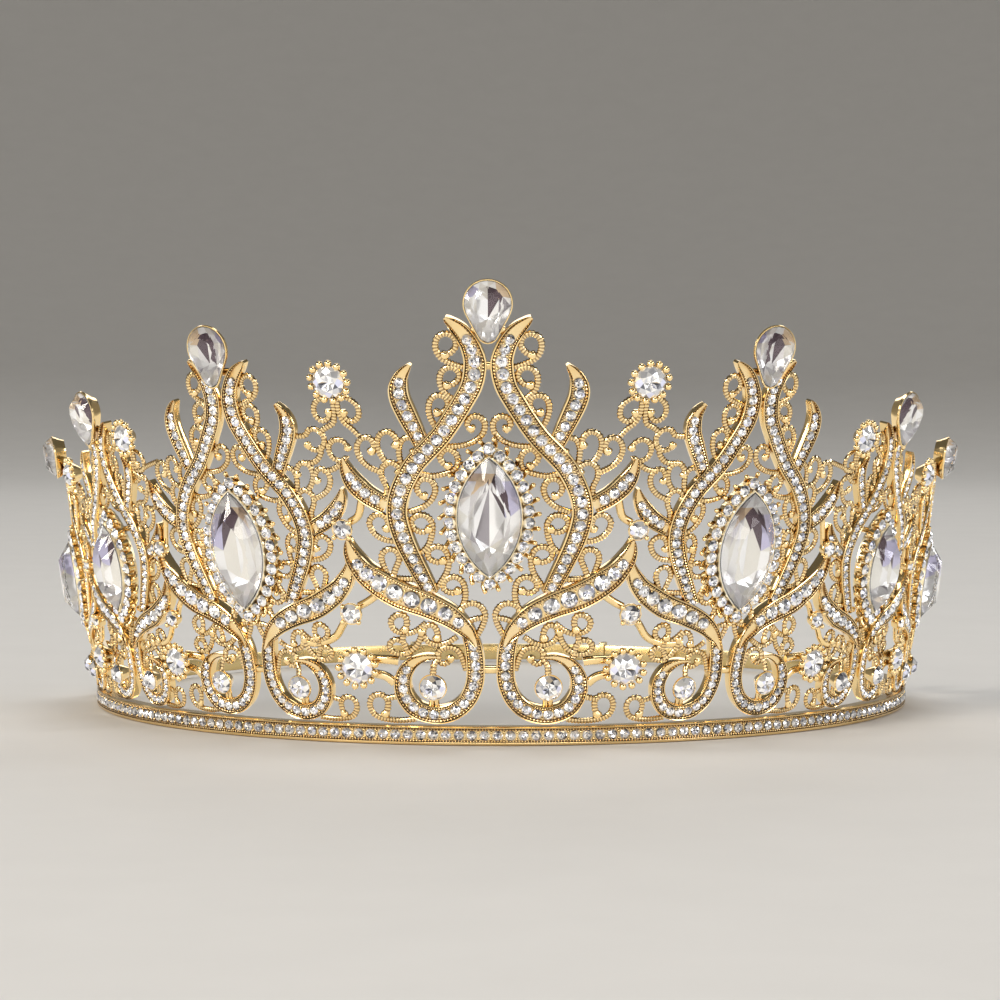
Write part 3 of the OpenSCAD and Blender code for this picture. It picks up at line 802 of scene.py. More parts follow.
def materials():
    """The materials, made once."""
    if not _made:
        c = bpy.context.scene.crown_colours
        # The third colour of each gold is the colour of its painted shade in crevices and grooves
        _made["rim"] = gold("gold_plate_polished", c.gold, "8E5212", 0.14, crevice=0.6)
        _made["notched"] = gold("gold_plate_notched", c.gold, c.gold_shade, 0.18, notch=NOTCH, crevice=0.3)
        _made["floor"] = gold("gold_plate_floor", c.gold_pale, "F3DAA6", 0.28, crevice=0.18)
        _made["wire"] = gold("gold_plate_beads", c.gold, c.gold_shade, 0.18, crevice=0.5)
        _made["ridged"] = gold("gold_plate_wire", c.gold, c.gold_shade, 0.16, crevice=0.9, ridged=True)
        _made["back"] = gold("gold_plate_back_band", c.back, "A98E55", 0.26)
        _made["small"] = small_stone_material()
        _made["glass"] = glass_material()
        _made["foil"] = foil_material()
    return _made


def facet_numbers(obj, seed, most=1.0):
    """Gives each face its own random number, which the stones' materials read."""
    values = np.random.default_rng(seed).random(len(obj.data.polygons)) * most
    layer = obj.data.attributes.new("facet", "FLOAT", "FACE")
    layer.data.foreach_set("value", values.astype(np.float32))


def finish_piece(obj, name, node=None):
    """Names a piece, gives it its body and hides the node that it replaces."""
    obj.name = obj.data.name = name
    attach(obj, "root")
    if node:
        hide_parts(node)


def finish_pair(obj, name, node=None):
    """Finishes a piece on the crown's right and its mirror image on the left, with its own mesh."""
    left = obj.copy()
    left.data = obj.data.copy()
    bpy.context.scene.collection.objects.link(left)
    left.data.transform(Matrix.Scale(-1, 4, (1, 0, 0)))
    left.data.flip_normals()
    for o, side in ((obj, "right"), (left, "left")):
        finish_piece(o, name.format(side), node and node.format(side))


def face_outward(obj):
    """Turns all normals outward."""
    activate(obj)
    bpy.ops.object.mode_set(mode="EDIT")
    bpy.ops.mesh.select_all(action="SELECT")
    bpy.ops.mesh.normals_make_consistent(inside=False)
    bpy.ops.object.mode_set(mode="OBJECT")
    return obj


# The crest

def strips_of(p):
    """The strips of the right half of panel p."""
    flame = panel_strip(p, FLAME, 0.0, STRIP_T)
    scroll = panel_strip(p, SCROLL, 0.05, STRIP_T - 0.3)
    long_strip = trim(panel_strip(p, LONG_STRIP, 0.15, STRIP_T - 0.15), [flame], 0.25)
    side = trim(panel_strip(p, SIDE_LEAF, 0.25, STRIP_T - 0.3), [long_strip], 0.3)
    upper = trim(panel_strip(p, UPPER_LEAF, 0.25, STRIP_T - 0.3), [long_strip], 0.3)
    return {"flame": flame, "scroll": scroll, "long": long_strip, "side": side, "upper": upper}


def wire_curve(name, angle, lines, pitch=None):
    """Wires on the crest at the angle, from one curve turned into a mesh.

    Each line is flat mm points, its share of the wire radius, and whether it has ridges and a knob.
    """
    sizes = bpy.context.scene.crown_sizes
    mat = materials()["ridged"]
    pitch = pitch or sizes.ridge_pitch / MM
    curve = bpy.data.curves.new(name, "CURVE")
    curve.dimensions = "3D"
    curve.bevel_depth = sizes.wire_radius / MM
    curve.bevel_resolution = 1
    curve.use_fill_caps = True
    curve.materials.append(mat)
    levels = []
    for pts, share, ridged, knob in lines:
        path = even_path(pts, pitch / 2 if ridged else pitch)
        n = len(path)
        r = np.full(n, share)
        # A groove gets level 0, and there the wire material paints shade
        level = np.ones(n)
        if ridged:
            r[1::2] *= RIDGE_DEPTH
            level[1::2] = 0.0
        if knob:
            k = KNOB[:n]
            r[: len(k)] = np.array(k) * share
            level[: len(k)] = 1.0
        levels.append(level)
        spline = curve.splines.new("POLY")
        spline.points.add(n - 1)
        spline.points.foreach_set("co", np.hstack([path, np.ones((n, 1))]).ravel())
        spline.points.foreach_set("radius", r)
    obj = bpy.data.objects.new(name, curve)
    bpy.context.scene.collection.objects.link(obj)
    activate(obj)
    bpy.ops.object.convert(target="MESH")
    obj = bpy.context.view_layer.objects.active
    obj.data.materials.clear()
    obj.data.materials.append(mat)
    bpy.ops.object.shade_smooth()
    if not obj.data.uv_layers:
        obj.data.uv_layers.new(name="UVMap")
    # The mesh has its caps first, two for each wire, and then the rings from the first wire to the last
    around = len(obj.data.vertices) // (sum(len(a) for a in levels) + 2 * len(levels))
    rings = points_of(obj).reshape(-1, around, 3)
    middle = rings[:, :, 2].mean(1, keepdims=True)
    rings[:, :, 2] = middle + WIRE_FLAT * (rings[:, :, 2] - middle)
    set_points(obj, bend(angle, rings.reshape(-1, 3)))
    values = np.concatenate([np.ones(2 * len(levels) * around), np.repeat(np.concatenate(levels), around)])
    layer = obj.data.attributes.new("ridge", "FLOAT", "POINT")
    layer.data.foreach_set("value", values.astype(np.float32))
    return obj


def squeeze(p, x, up):
    """Moves a curl beside the halo outward where the large stone is wide for its panel."""
    near = np.exp(-((up - 38.5) / 9.0) ** 4)
    halo, wall = 8.3, 13.2
    limit = halo + ((PANELS[p].boat_b + 3.1) / PANELS[p].spread - halo) * near
    inner = wall - (wall - x) * (wall - limit) / (wall - halo)
    return np.where((x > 8.0) & (x < wall), x + (inner - x) * near, x)


def curl_lines(p):
    """The curls of panel p in flat mm, on both sides."""
    lines = []
    for name in sorted(CURLS):
        if p > 1 and name in BESIDE:
            continue
        pts = np.array(CURLS[name], float)
        if name.startswith("halo"):
            pts[:, 0] = squeeze(p, pts[:, 0], pts[:, 1])
        x, y = real(p, pts[:, 0], pts[:, 1])
        z = np.full(len(pts), WIRE_Z)
        z[:3] += ((1.1, 0.6, 0.2) if name == "scroll_link" else (0.25, 0.15, 0.05))[: len(pts)]
        knob = not name.endswith(("bar", "link"))
        for s in (1, -1):
            lines.append((np.stack([s * x, y, z], 1), PANELS[p].wire, True, knob))
    return lines


def panel_wires(p):
    """All wires of panel p, and the small stones in its outer gaps as template places and radii."""
    panel = PANELS[p]
    lines = curl_lines(p)

    def flat(points, z=WIRE_Z):
        return np.array([(*real(p, x, y), z) for x, y in points])

    def plain(points, size, z=WIRE_Z):
        lines.append((flat(points, z), panel.wire * size, False, False))

    for x, y in BARS:
        plain([(-x, y), (0, y), (x, y)], 1.2)
        lines[-1][0][1, 2] = 1.0
    # Two stems under each scroll stone
    cx, cy = SCROLL_STONE
    for s in (1, -1):
        for dx in (-0.45, 0.45):
            plain([(s * (cx + dx), 6.6), (s * (cx + dx * 0.9), 7.4),
                   (s * (cx + dx * 0.7), cy - 0.6 * scroll_size(p) / panel.rise)], 0.72)
    # Two stems to each low round stone
    cx, cy = LOW_STONE
    reach = 0.55 * low_size(p) / panel.spread
    for s in OUTER_SIDES[p]:
        for x, y, dy in ((15.7, 10.8, -1.2), (15.0, 14.6, 1.2)):
            plain([(s * x, y), (s * (x + 1.6), y + (cy + dy - y) * 0.7), (s * (cx - reach), cy + dy)], 1.3)
    if p > 0:
        lines += [(flat(pts), panel.wire, True, knob) for pts, knob in under_top_stone(p)]
    if p > 1:
        # Two plain bars on each side hold the ring of small stones
        inner = (panel.boat_b * 0.55 + 1.8) / panel.spread
        for up, reach in ((6.6, 4.4), (-7.4, 4.0)):
            y = panel.boat_at + up / panel.rise
            for s in (1, -1):
                plain([(s * inner, y), (s * (inner + reach), y + 0.5)], 1.0)
    # Stems of the small stones in the gaps
    gaps = []
    for s in OUTER_SIDES[p]:
        (x1, y1, r1), (x2, y2, r2) = gap_stones(p)
        gaps += [(s * x1, y1, r1), (s * x2, y2, r2)]
        for stem in ([(18.4, 26.0), (20.0, 24.8), (x1 - r1 * 0.6, y1 + r1 * 0.6)],
                     [(x1 + r1 * 0.5, y1 - r1 * 0.5), (x1 + 1.8, y1 - 2.2), (x1 + 3.2, y1 - 4.4),
                      (x1 + 6.0, y1 - 5.6), (x1 + 9.4, y1 - 5.6)],
                     [(20.8, 42.0), (21.4, 39.4), (x2 - r2 * 0.6, y2 + r2 * 0.6)],
                     [(x2 - 0.4, y2 - r2 * 0.9), (22.9, 35.2), (22.4, 33.4)]):
            plain([(s * x, y) for x, y in stem], 1.1, 0.8)
    return lines, gaps


def flip_strip(strip):
    across = np.array([-1, 1])
    return Strip(strip.middle * across, -strip.normal * across, strip.half, strip.back, strip.front)


def set_stones(strip, rail, most, start, stop, least):
    """Small stones along a strip: flat places, radii up to most mm, and the places of the beads beside them.

    No stone is smaller than least of the largest.
    """
    gap = 1.04
    stones = []
    beads = []
    s = start
    total = strip.length[-1] - stop

    def along(at, values):
        return np.interp(at, strip.length, values)

    while s < total:
        w = along(s, strip.half)
        r = min(most, w - rail_of(w, rail) + 0.04)
        if r < least * most:
            s += 0.5
            continue
        stones.append((along(s, strip.middle[:, 0]), along(s, strip.middle[:, 1]), strip.front - 0.22, r))
        s2 = s + r * gap
        if s2 < total:
            for off in (r * 0.72, -r * 0.72):
                beads.append((along(s2, strip.middle[:, 0]) + along(s2, strip.normal[:, 0]) * off,
                              along(s2, strip.middle[:, 1]) + along(s2, strip.normal[:, 1]) * off,
                              strip.front - 0.26))
        s += 2 * r * gap
    return stones, beads


def stone_matrices(angle, stones, rng):
    """The matrices of small stones, each tipped a little and turned by chance."""
    out = []
    for x, y, z, r in stones:
        tilt = (rng.uniform(-0.09, 0.09), rng.uniform(-0.09, 0.09))
        out.append(spot(angle, x, y, z, r, tilt, rng.uniform(0, 6.28)))
    return out


def boat_outline(a, b, off, count):
    """A boat of two arcs, half its length a and half its width b, grown by off, as count points."""
    r = (a * a + b * b) / (2 * b)
    reach = math.acos((r - b) / (r + off))
    pts = []
    per = count // 2
    for s in (1, -1):
        for i in range(per):
            t = -reach + 2 * reach * i / per
            pts.append((s * ((r + off) * math.cos(t) - (r - b)), s * (r + off) * math.sin(t)))
    return pts


def drop_outline(a, r, off, count):
    """A drop from its tip round: a round end of radius r, sides that would meet a below it, a blunt point."""
    half = math.asin(r / a)
    blunt = BLUNT * r
    low = -a + blunt / math.sin(half)
    pts = [((blunt + off) * math.sin(t), low - (blunt + off) * math.cos(t))
           for t in np.linspace(0, math.pi / 2 - half, 9)]
    pts += [((r + off) * math.cos(t), (r + off) * math.sin(t)) for t in np.linspace(-half, math.pi / 2, 40)]
    pts += [(-x, y) for x, y in reversed(pts[1:-1])]
    return even_ring(pts, count)


def even_ring(points, count, shift=0.0):
    """Places spaced evenly round a closed outline."""
    pts = np.array(points + [points[0]])
    length = lengths(pts)
    at = (np.arange(count) + shift) / count * length[-1]
    return [(float(np.interp(a, length, pts[:, 0])), float(np.interp(a, length, pts[:, 1]))) for a in at]


# The radii of the round stones, which shrink less than their panels do

def scroll_size(p):
    return 2.15 * (0.35 + 0.65 * PANELS[p].spread)


def low_size(p):
    return 2.68 * (0.4 + 0.6 * PANELS[p].spread)


def top_size(p):
    return 2.62 * (0.5 + 0.5 * PANELS[p].spread / PANELS[1].spread)


def cup_profile(r, high=2.36):
    """The section of a round cup for a stone of radius r. It narrows toward its foot."""
    low, foot = 0.3, 0.5
    a, b = r - 0.06, r + 0.18
    return [(a * foot, low), (b * foot - 0.1, low), (b * foot, low + 0.1), (b, high - 0.25), (b - 0.08, high),
            (a + 0.06, high), (a, high - 0.12)]


def loft(rings):
    """A closed surface through rings, each an outline and a height."""
    n = len(rings[0][0])
    m = len(rings)
    verts = [(x, y, z) for ring, z in rings for x, y in ring]
    faces = []
    for k in range(m):
        k1 = (k + 1) % m
        for i in range(n):
            j = (i + 1) % n
            faces.append((k * n + i, k * n + j, k1 * n + j, k1 * n + i))
    return verts, faces


def rigid_object(name, shape, matrices, mats, smooth=None):
    """One object of many copies of a small shape."""
    verts = np.asarray(shape[0], float)
    placed = [np.array(m) for m in matrices]
    points = np.vstack([verts @ m[:3, :3].T + m[:3, 3] for m in placed])
    faces = [tuple(v + i * len(verts) for v in f) for i in range(len(placed)) for f in shape[1]]
    return mesh_object(name, points, faces, mats, smooth=smooth)


def bead_object(name, angle, beads):
    """Beads on the crest at the angle, each a flat place and a radius."""
    return rigid_object(name, bead_shape(), [spot(angle, *b) for b in beads], [materials()["wire"]], 60)


def halo(p, stones, beads):
    """The cups, hooks and plate round the boat-shaped stone. Adds their stones and beads to the lists."""
    panel = PANELS[p]
    angle = panel.angle
    ux, uy = real(p, 0, panel.boat_at)

    def boat(off, count=200):
        return boat_outline(panel.boat_a, panel.boat_b, off, count)

    ring = even_ring(boat(HALO_OUT), panel.halo)
    outer = even_ring(boat(HALO_BEADS), panel.halo, 0.64)
    feet = even_ring(boat(HOOK_FEET), panel.halo, 0.5)
    knees = even_ring(boat(HOOK_KNEES), panel.halo, 0.46)
    r = min(bpy.context.scene.crown_sizes.halo_radius / MM, math.dist(ring[0], ring[1]) / 2 * 0.98)
    stones += [(ux + x, uy + y, 2.45, r) for x, y in ring]
    beads += [(ux + x, uy + y, 1.9, 0.42) for x, y in outer]
    cup = lathe([(r * 0.7, 1.0), (r * 0.85, 1.0), (r + 0.04, 2.1), (r + 0.05, 2.34), (r - 0.06, 2.36),
                 (r - 0.1, 1.9)], 10)
    cups = rigid_object("cups", cup, [spot(angle, ux + x, uy + y, 0, 1.0) for x, y in ring],
                        [materials()["wire"]], 40)
    hooks = []
    for (x, y), (x1, y1), (x2, y2) in zip(outer, feet, knees):
        hook = np.array([(ux + x1, uy + y1, WIRE_Z), (ux + x2, uy + y2, 1.2), (ux + x, uy + y, 1.8)])
        hooks.append((hook, 0.66, False, False))
        beads.append((ux + (x1 + x2) / 2, uy + (y1 + y2) / 2, 2.3, 0.22))
    plate = rigid_object("plate", loft([(boat(off, 64), z) for off, z in PLATE]), [stand(angle, ux, uy)],
                         [materials()["floor"]], 40)
    return [cups, wire_curve("hooks", angle, hooks, 0.8), plate]


def gap_cup(angle, x, y, r, beads):
    """The cup of a small stone in a gap. Adds its four claws to beads."""
    for i in range(4):
        t = math.pi * (i + 0.5) / 2
        beads.append((x + (r + 0.16) * math.cos(t), y + (r + 0.16) * math.sin(t), 2.1, 0.44))
    cup = lathe([(r * 0.5, 0.5), (r * 0.8, 0.5), (r + 0.16, 1.7), (r + 0.1, 1.95), (r - 0.1, 1.95),
                 (r - 0.1, 1.6)], 14)
    return rigid_object("gap_cup", cup, [stand(angle, x, y)], [materials()["rim"]], 40)


def crown_cup(angle, x, y, r, beads):
    """A round cup with a ring of bead prongs, which are added to beads."""
    prongs = 13
    for i in range(prongs):
        t = 2 * math.pi * (i + 0.5) / prongs
        beads.append((x + (r + 0.46) * math.cos(t), y + (r + 0.46) * math.sin(t), 2.3, 0.2 * (r + 0.5)))
    return rigid_object("cup", lathe(cup_profile(r, 2.2), 26), [stand(angle, x, y)], [materials()["rim"]], 40)


def drop_cup(p):
    """The cup of the drop-shaped stone, which flares from its foot to a thin rim."""
    panel = PANELS[p]
    foot = -0.36 * panel.drop_r
    section = [(foot, 1.1), (foot + 0.2, 1.0), (foot * 0.6, 1.5), (foot * 0.27, 2.1), (0.02, 2.6),
               (0.19, 2.93), (0.13, 3.18), (-0.04, 3.22), (-0.08, 3.05)]
    rings = [(drop_outline(panel.drop_a, panel.drop_r, off, 40), z) for off, z in section]
    at = stand(panel.angle, *real(p, 0, DROP_AT))
    return rigid_object("drop_cup", loft(rings), [at], [materials()["rim"]], 40)


def end_leaf(rng):
    """The leaf past the third panel with its wire and round cup, and the matrices of its small stones."""
    panel = PANELS[3]
    rail = bpy.context.scene.crown_sizes.rail_width / MM * panel.detail
    leaf = panel_strip(3, END_LEAF, 0.0, STRIP_T, scaled=False)
    beads = []
    parts = [strip_object(leaf, rail, SIDE, "end"), crown_cup(SIDE, *END_STONE, low_size(3), beads)]
    wire = np.array([(x, y, WIRE_Z) for x, y in END_WIRE])
    stones, holders = set_stones(leaf, rail, 1.0, 1.6, 4.0, 0.52)
    parts += [bead_object("end_beads", SIDE, beads),
              wire_curve("end_wire", SIDE, [(wire, panel.wire, True, False)]),
              bead_object("end_holders", SIDE, [(x, y, z, 0.24) for x, y, z in holders])]
    return parts, stone_matrices(SIDE, stones, rng)


def build_panel(p):
    """The casting and the small stones of panel p, as two objects on the crown's right side."""
    panel = PANELS[p]
    angle = panel.angle
    sizes = bpy.context.scene.crown_sizes
    rail = sizes.rail_width / MM * panel.detail
    rng = random.Random(100 + p)
    half = strips_of(p)
    both = list(half.values()) + [flip_strip(s) for s in half.values()]
    parts = [strip_object(s, rail, angle, "strip") for s in both]
    lines, gaps = panel_wires(p)
    parts.append(wire_curve("wires", angle, lines))
    stones = []
    beads = []
    least = 0.6 if p < 2 else 0.52
    for key, strip in half.items():
        start, stop = (end * panel.wire for end in STONE_ROOM[key])
        most = FLAME_STONE if key == "flame" else sizes.pave_radius / MM
        got, holders = set_stones(strip, rail, most * panel.detail, start, stop, least)
        for s in (1, -1):
            stones += [(s * x, y, z, r) for x, y, z, r in got]
            beads += [(s * x, y, z, sizes.bead_radius / MM) for x, y, z in holders]
    parts += halo(p, stones, beads)
    for x, y, r in gaps:
        x, y = real(p, x, y)
        stones.append((x, y, 1.9, r))
        parts.append(gap_cup(angle, x, y, r, beads))
    parts.append(drop_cup(p))
    for s in (1, -1):
        at = real(p, s * SCROLL_STONE[0], SCROLL_STONE[1])
        parts.append(rigid_object("cup", lathe(cup_profile(scroll_size(p)), 28), [stand(angle, *at)],
                                  [materials()["rim"]], 40))
    for s in OUTER_SIDES[p]:
        parts.append(crown_cup(angle, *real(p, s * LOW_STONE[0], LOW_STONE[1]), low_size(p), beads))
    if p > 0:
        parts.append(crown_cup(angle, *real(p, panel.top_x, TOP_UP), top_size(p), beads))
    end_stones = []
    if p == 3:
        more, end_stones = end_leaf(rng)
        parts += more
    parts.append(bead_object("beads", angle, beads))
    casting = face_outward(join(parts, "crest"))
    small = rigid_object("small", small_cut(), stone_matrices(angle, stones, rng) + end_stones,
                         [materials()["small"]])
    facet_numbers(small, 7 + p)
    return casting, small


def to_template(p, phi, up):
    """A real place on the crest as across and up on panel p."""
    panel = PANELS[p]
    return ((phi - panel.angle) * radius(panel.angle, up) / panel.spread,
            CREST_FOOT + (up - CREST_FOOT) / panel.rise)


def under_top_stone(p):
    """The curls under panel p's top stone and toward the panel before, each as template points and a knob."""
    x, y = PANELS[p].top_x, TOP_UP - (top_size(p) + 0.2) / PANELS[p].rise
    before = PANELS[p - 1]
    bx, by = real(p - 1, 20.4, 52.4)
    ox, oy = to_template(p, before.angle + bx / radius(before.angle, by), by)
    ring = (-19.4, 58.1)
    low = (-24.0, 56.2)
    neck = y + 0.5 * top_size(p)
    out = []
    for s in (1, -1):
        out.append(([(x + s * 1.5, y - 2.3), (x + s * 1.6, y - 3.7), (x + s * 2.9, y - 4.5),
                     (x + s * 4.3, y - 3.5), (x + s * 4.3, y - 1.6), (x + s * 2.7, y - 0.2),
                     (x + s * 0.5, y + 0.2)], True))
    out.append(([(x - 0.4, neck), (x - 0.5, y + 0.2), (x - 0.5, y - 2.6), (x - 1.2, y - 4.6),
                 ((x + ox) / 2 - 0.4, (y + oy) / 2 - 2.0), (ox + 0.6, oy + 0.4)], False))
    out.append(([(x + 0.4, neck), (x + 0.5, y + 0.2), (x + 0.4, y - 2.6), (x + 0.9, y - 4.8),
                 ((x + ring[0]) / 2, (y + ring[1]) / 2 - 1.8), (ring[0] - 1.1, ring[1] + 1.2)], False))
    for (cx, cy), turn, tail in ((ring, 0.4, [(-15.4, 58.6)]), (low, -2.4, [(-22.6, 52.7), (-20.2, 52.2)])):
        loop = [(cx + 2.0 * math.cos(t), cy + 2.0 * math.sin(t)) for t in np.linspace(turn + 5.6, turn, 9)]
        out.append((loop + tail, True))
    out.append(([(ring[0] - 1.2, ring[1] - 1.2), (-20.1, 55.2), (-18.6, 53.8), (-16.2, 53.6)], False))
    out.append(([(low[0] + 1.5, low[1] + 0.6), (ring[0] - 1.5, ring[1] - 0.4)], False))
    return out


def gap_stones(p):
    """The two small round stones between panel p and the next one out: across, up and radius on panel p."""
    here, there = PANELS[p], PANELS[p + 1]
    rise = (here.rise + there.rise) / 2
    size = (here.spread + there.spread) / 1.85
    out = []
    for share, up, r in ((0.545, 20.7, 1.75), (0.55, 35.9, 1.65)):
        phi = here.angle + share * (there.angle - here.angle)
        x, y = to_template(p, phi, CREST_FOOT + rise * up)
        out.append((x, y, r * size))
    return out


# Large stones

def round_gem(matrix, r, seed):
    """A round stone too small to look into: a bright cut front on a foiled back."""
    mats = materials()
    sides = 16
    girdle = 2.4
    outline = round_outline(sides, r)
    front, faces = brilliant(outline, 0.8, 0.54, star=0.2)
    back, back_faces = pavilion(outline, 1.9)
    shift = len(front) - sides
    verts = [(x, y, z + girdle) for x, y, z in front + back[sides:]]
    first_back = len(faces)
    faces += [tuple(v if v < sides else v + shift for v in f) for f in back_faces]
    o = rigid_object("round", (verts, faces), [matrix], [mats["small"], mats["foil"]])
    for f in o.data.polygons:
        f.material_index = int(f.index >= first_back)
    facet_numbers(o, seed)
    return o


def gem_object(name, matrix, outline, girdle, table, back, share, keel, seed, tints):
    """A glass body with a foil back just inside it."""
    mats = [materials()["glass"], materials()["foil"]]
    n = len(outline)
    front, faces = brilliant(outline, table - girdle, share)
    under, under_faces = pavilion(outline, girdle - back, keel)
    shift = len(front) - n
    verts = [(x, y, z + girdle) for x, y, z in front + under[n:]]
    faces += [tuple(v if v < n else v + shift for v in f) for f in under_faces]
    glass = rigid_object(name, (verts, faces), [matrix], mats)
    under, under_faces = pavilion(outline, girdle - back - 0.12, keel, 0.965)
    foil = rigid_object("foil", ([(x, y, z + girdle) for x, y, z in under], under_faces), [matrix], mats)
    for f in foil.data.polygons:
        f.material_index = 1
    for o in (glass, foil):
        facet_numbers(o, seed, PLAIN_TINTS)
    wide, tall = max(x for x, y in outline), max(y for x, y in outline)
    points = np.array(under)
    for i, f in enumerate(under_faces):
        x, y = points[list(f), :2].mean(0) / (wide, tall)
        for x0, x1, y0, y1, value in tints:
            if x0 < x < x1 and y0 < y < y1:
                foil.data.attributes["facet"].data[i].value = value
    return join([glass, foil], name)


# Operators

class CROWN_OT_crest(bpy.types.Operator):
    """Builds the seven crest panels and their small stones"""

    bl_idname = "crown.crest"
    bl_label = "Crest panels"

    def execute(self, context):
        for p in range(len(PANELS)):
            casting, small = build_panel(p)
            if p == 0:
                finish_piece(casting, "crest_center", "panel_center")
                finish_piece(small, "small_stones_center")
            else:
                finish_pair(casting, f"crest_{{}}_{p}", f"panel_{{}}_{p}")
                finish_pair(small, f"small_stones_{{}}_{p}")
        return {"FINISHED"}


class CROWN_OT_large_stones(bpy.types.Operator):
    """Cuts the boat-shaped, drop-shaped and round stones"""

    bl_idname = "crown.large_stones"
    bl_label = "Large stones"

    def execute(self, context):
        for p, panel in enumerate(PANELS):
            boat = gem_object("boat", stand(panel.angle, *real(p, 0, panel.boat_at)),
                              boat_outline(panel.boat_a, panel.boat_b, 0, 28), 3.0, 5.2, 0.6, 0.56,
                              (-panel.boat_a * 0.5, panel.boat_a * 0.5), 11 + p, BOAT_TINTS)
            drop = gem_object("drop", stand(panel.angle, *real(p, 0, DROP_AT)),
                              drop_outline(panel.drop_a, panel.drop_r, 0, 22), 3.2, 4.8, 1.1, 0.58,
                              (-panel.drop_a * 0.31, 0.4), 21 + p, DROP_TINTS)
            for o, kind in ((boat, "marquise"), (drop, "pear")):
                if p == 0:
                    finish_piece(o, f"stone_{kind}_center", f"{kind}_center")
                else:
                    finish_pair(o, f"stone_{kind}_{{}}_{p}", f"{kind}_{{}}_{p}")
            for s in (1, -1):
                x, y = real(p, s * SCROLL_STONE[0], SCROLL_STONE[1])
                o = round_gem(stand(panel.angle, x, y), scroll_size(p), 31 + p)
                if p == 0:
                    side = "right" if s > 0 else "left"
                    finish_piece(o, f"stone_scroll_center_{side}", f"scroll_stone_center_{side}")
                else:
                    side = "outer" if s > 0 else "inner"
                    finish_pair(o, f"stone_scroll_{{}}_{p}_{side}", f"scroll_stone_{{}}_{p}_{side}")
        places = []
        for i in (1, 2, 3):
            q = i - 1
            top = real(i, PANELS[i].top_x, TOP_UP)
            places.append((PANELS[q].angle, real(q, *LOW_STONE), low_size(q), f"junction_low_{{}}_{i}"))
            places.append((PANELS[i].angle, top, top_size(i), f"junction_top_{{}}_{i}"))
        places.append((SIDE, END_STONE, low_size(3), "end_stone_{}"))
        for angle, (x, y), r, node in places:
            finish_pair(round_gem(stand(angle, x, y), r, 41), "stone_" + node, node)
        return {"FINISHED"}


def turned_bar(name, section, start, end, steps, mats):
    """A bar round the ring, from one angle to another, spun from its section of radius and height."""
    a = math.radians(start)
    verts = [(r * math.sin(a) * MM, -r * math.cos(a) * MM, z * MM) for r, z in section]
    o = mesh_object(name, verts, [tuple(range(len(section)))], mats)
    activate(o)
    bpy.ops.object.mode_set(mode="EDIT")
    bpy.ops.mesh.select_all(action="SELECT")
    bpy.ops.mesh.spin(steps=steps, angle=math.radians(end - start), center=(0, 0, 0), axis=(0, 0, -1))
    bpy.ops.object.mode_set(mode="OBJECT")
    face_outward(o)
    bpy.ops.object.shade_smooth_by_angle(angle=math.radians(35))
    return o


def ring_spot(phi, z, size, tilt=(0.0, 0.0), spin=0.0):
    """The matrix of a small shape that looks outward from the front band at height z."""
    r = RING_R - 0.3
    ex = Vector((math.cos(phi), math.sin(phi), 0))
    ez = Vector((math.sin(phi), -math.cos(phi), 0))
    m = Matrix((ex, ez.cross(ex), ez)).transposed().to_4x4()
    at = Vector((r * math.sin(phi), -r * math.cos(phi), z)) * MM
    return tilted(Matrix.Translation(at) @ m, tilt, spin, size * MM)


class CROWN_OT_front_band(bpy.types.Operator):
    """Builds the front band with its beaded edges and its row of stones"""

    bl_idname = "crown.front_band"
    bl_label = "Front band"

    def execute(self, context):
        mats = materials()
        inner = RING_R - BAND_T
        # The outer face, as depth and height, with a beaded line at each edge of its floor
        face = [(0.35, 0.0), (0.05, 0.12), (0.0, 0.32), (0.03, 0.55), (0.16, 0.64), (0.1, 0.74), (0.12, 0.86),
                (0.42, 0.92), (0.42, 2.46), (0.12, 2.52), (0.1, 2.64), (0.16, 2.74), (0.02, 2.84), (0.0, 3.0),
                (0.16, 3.18), (0.4, 3.2)]
        section = [(inner + 0.2, 0.0)] + [(RING_R - deep, z) for deep, z in face]
        section += [(inner + 0.2, 3.2), (inner, 3.0), (inner, 0.2)]
        finishes = [mats[key] for key in ("rim", "notched", "floor")]
        band = turned_bar("band", section, -BAND_END, BAND_END, 240, finishes)
        around = band.data.uv_layers["UVMap"].data
        for f in band.data.polygons:
            c = f.center / MM
            out = math.hypot(c.x, c.y)
            if out > RING_R - 0.3 and (0.58 < c.z < 0.92 or 2.48 < c.z < 2.8):
                f.material_index = 1
            elif RING_R - 0.6 < out and 0.9 < c.z < 2.5:
                f.material_index = 2
            for k in f.loop_indices:
                at = band.data.vertices[band.data.loops[k].vertex_index].co / MM
                around[k].uv = (at.z, RING_R * math.atan2(at.x, -at.y))
        rng = random.Random(5)
        pitch = 2.13
        end = BAND_END - 1.2
        count = int(math.radians(2 * end) * RING_R / pitch)
        stones, beads = [], []
        for i in range(count):
            phi = math.radians(-end + (i + 0.5) * 2 * end / count)
            tilt = (rng.uniform(-0.08, 0.08), rng.uniform(-0.08, 0.08))
            stones.append(ring_spot(phi, 1.69, 0.86, tilt, rng.uniform(0, 6.28)))
            for z in (1.12, 2.26):
                beads.append(ring_spot(phi + math.radians(end / count), z, 0.25))
        holders = rigid_object("beads", bead_shape(), beads, [mats["wire"]], 60)
        finish_piece(join([band, holders], "band"), "band_front", "front_band")
        small = rigid_object("small", small_cut(), stones, [mats["small"]])
        facet_numbers(small, 3)
        finish_piece(small, "small_stones_band")
        return {"FINISHED"}


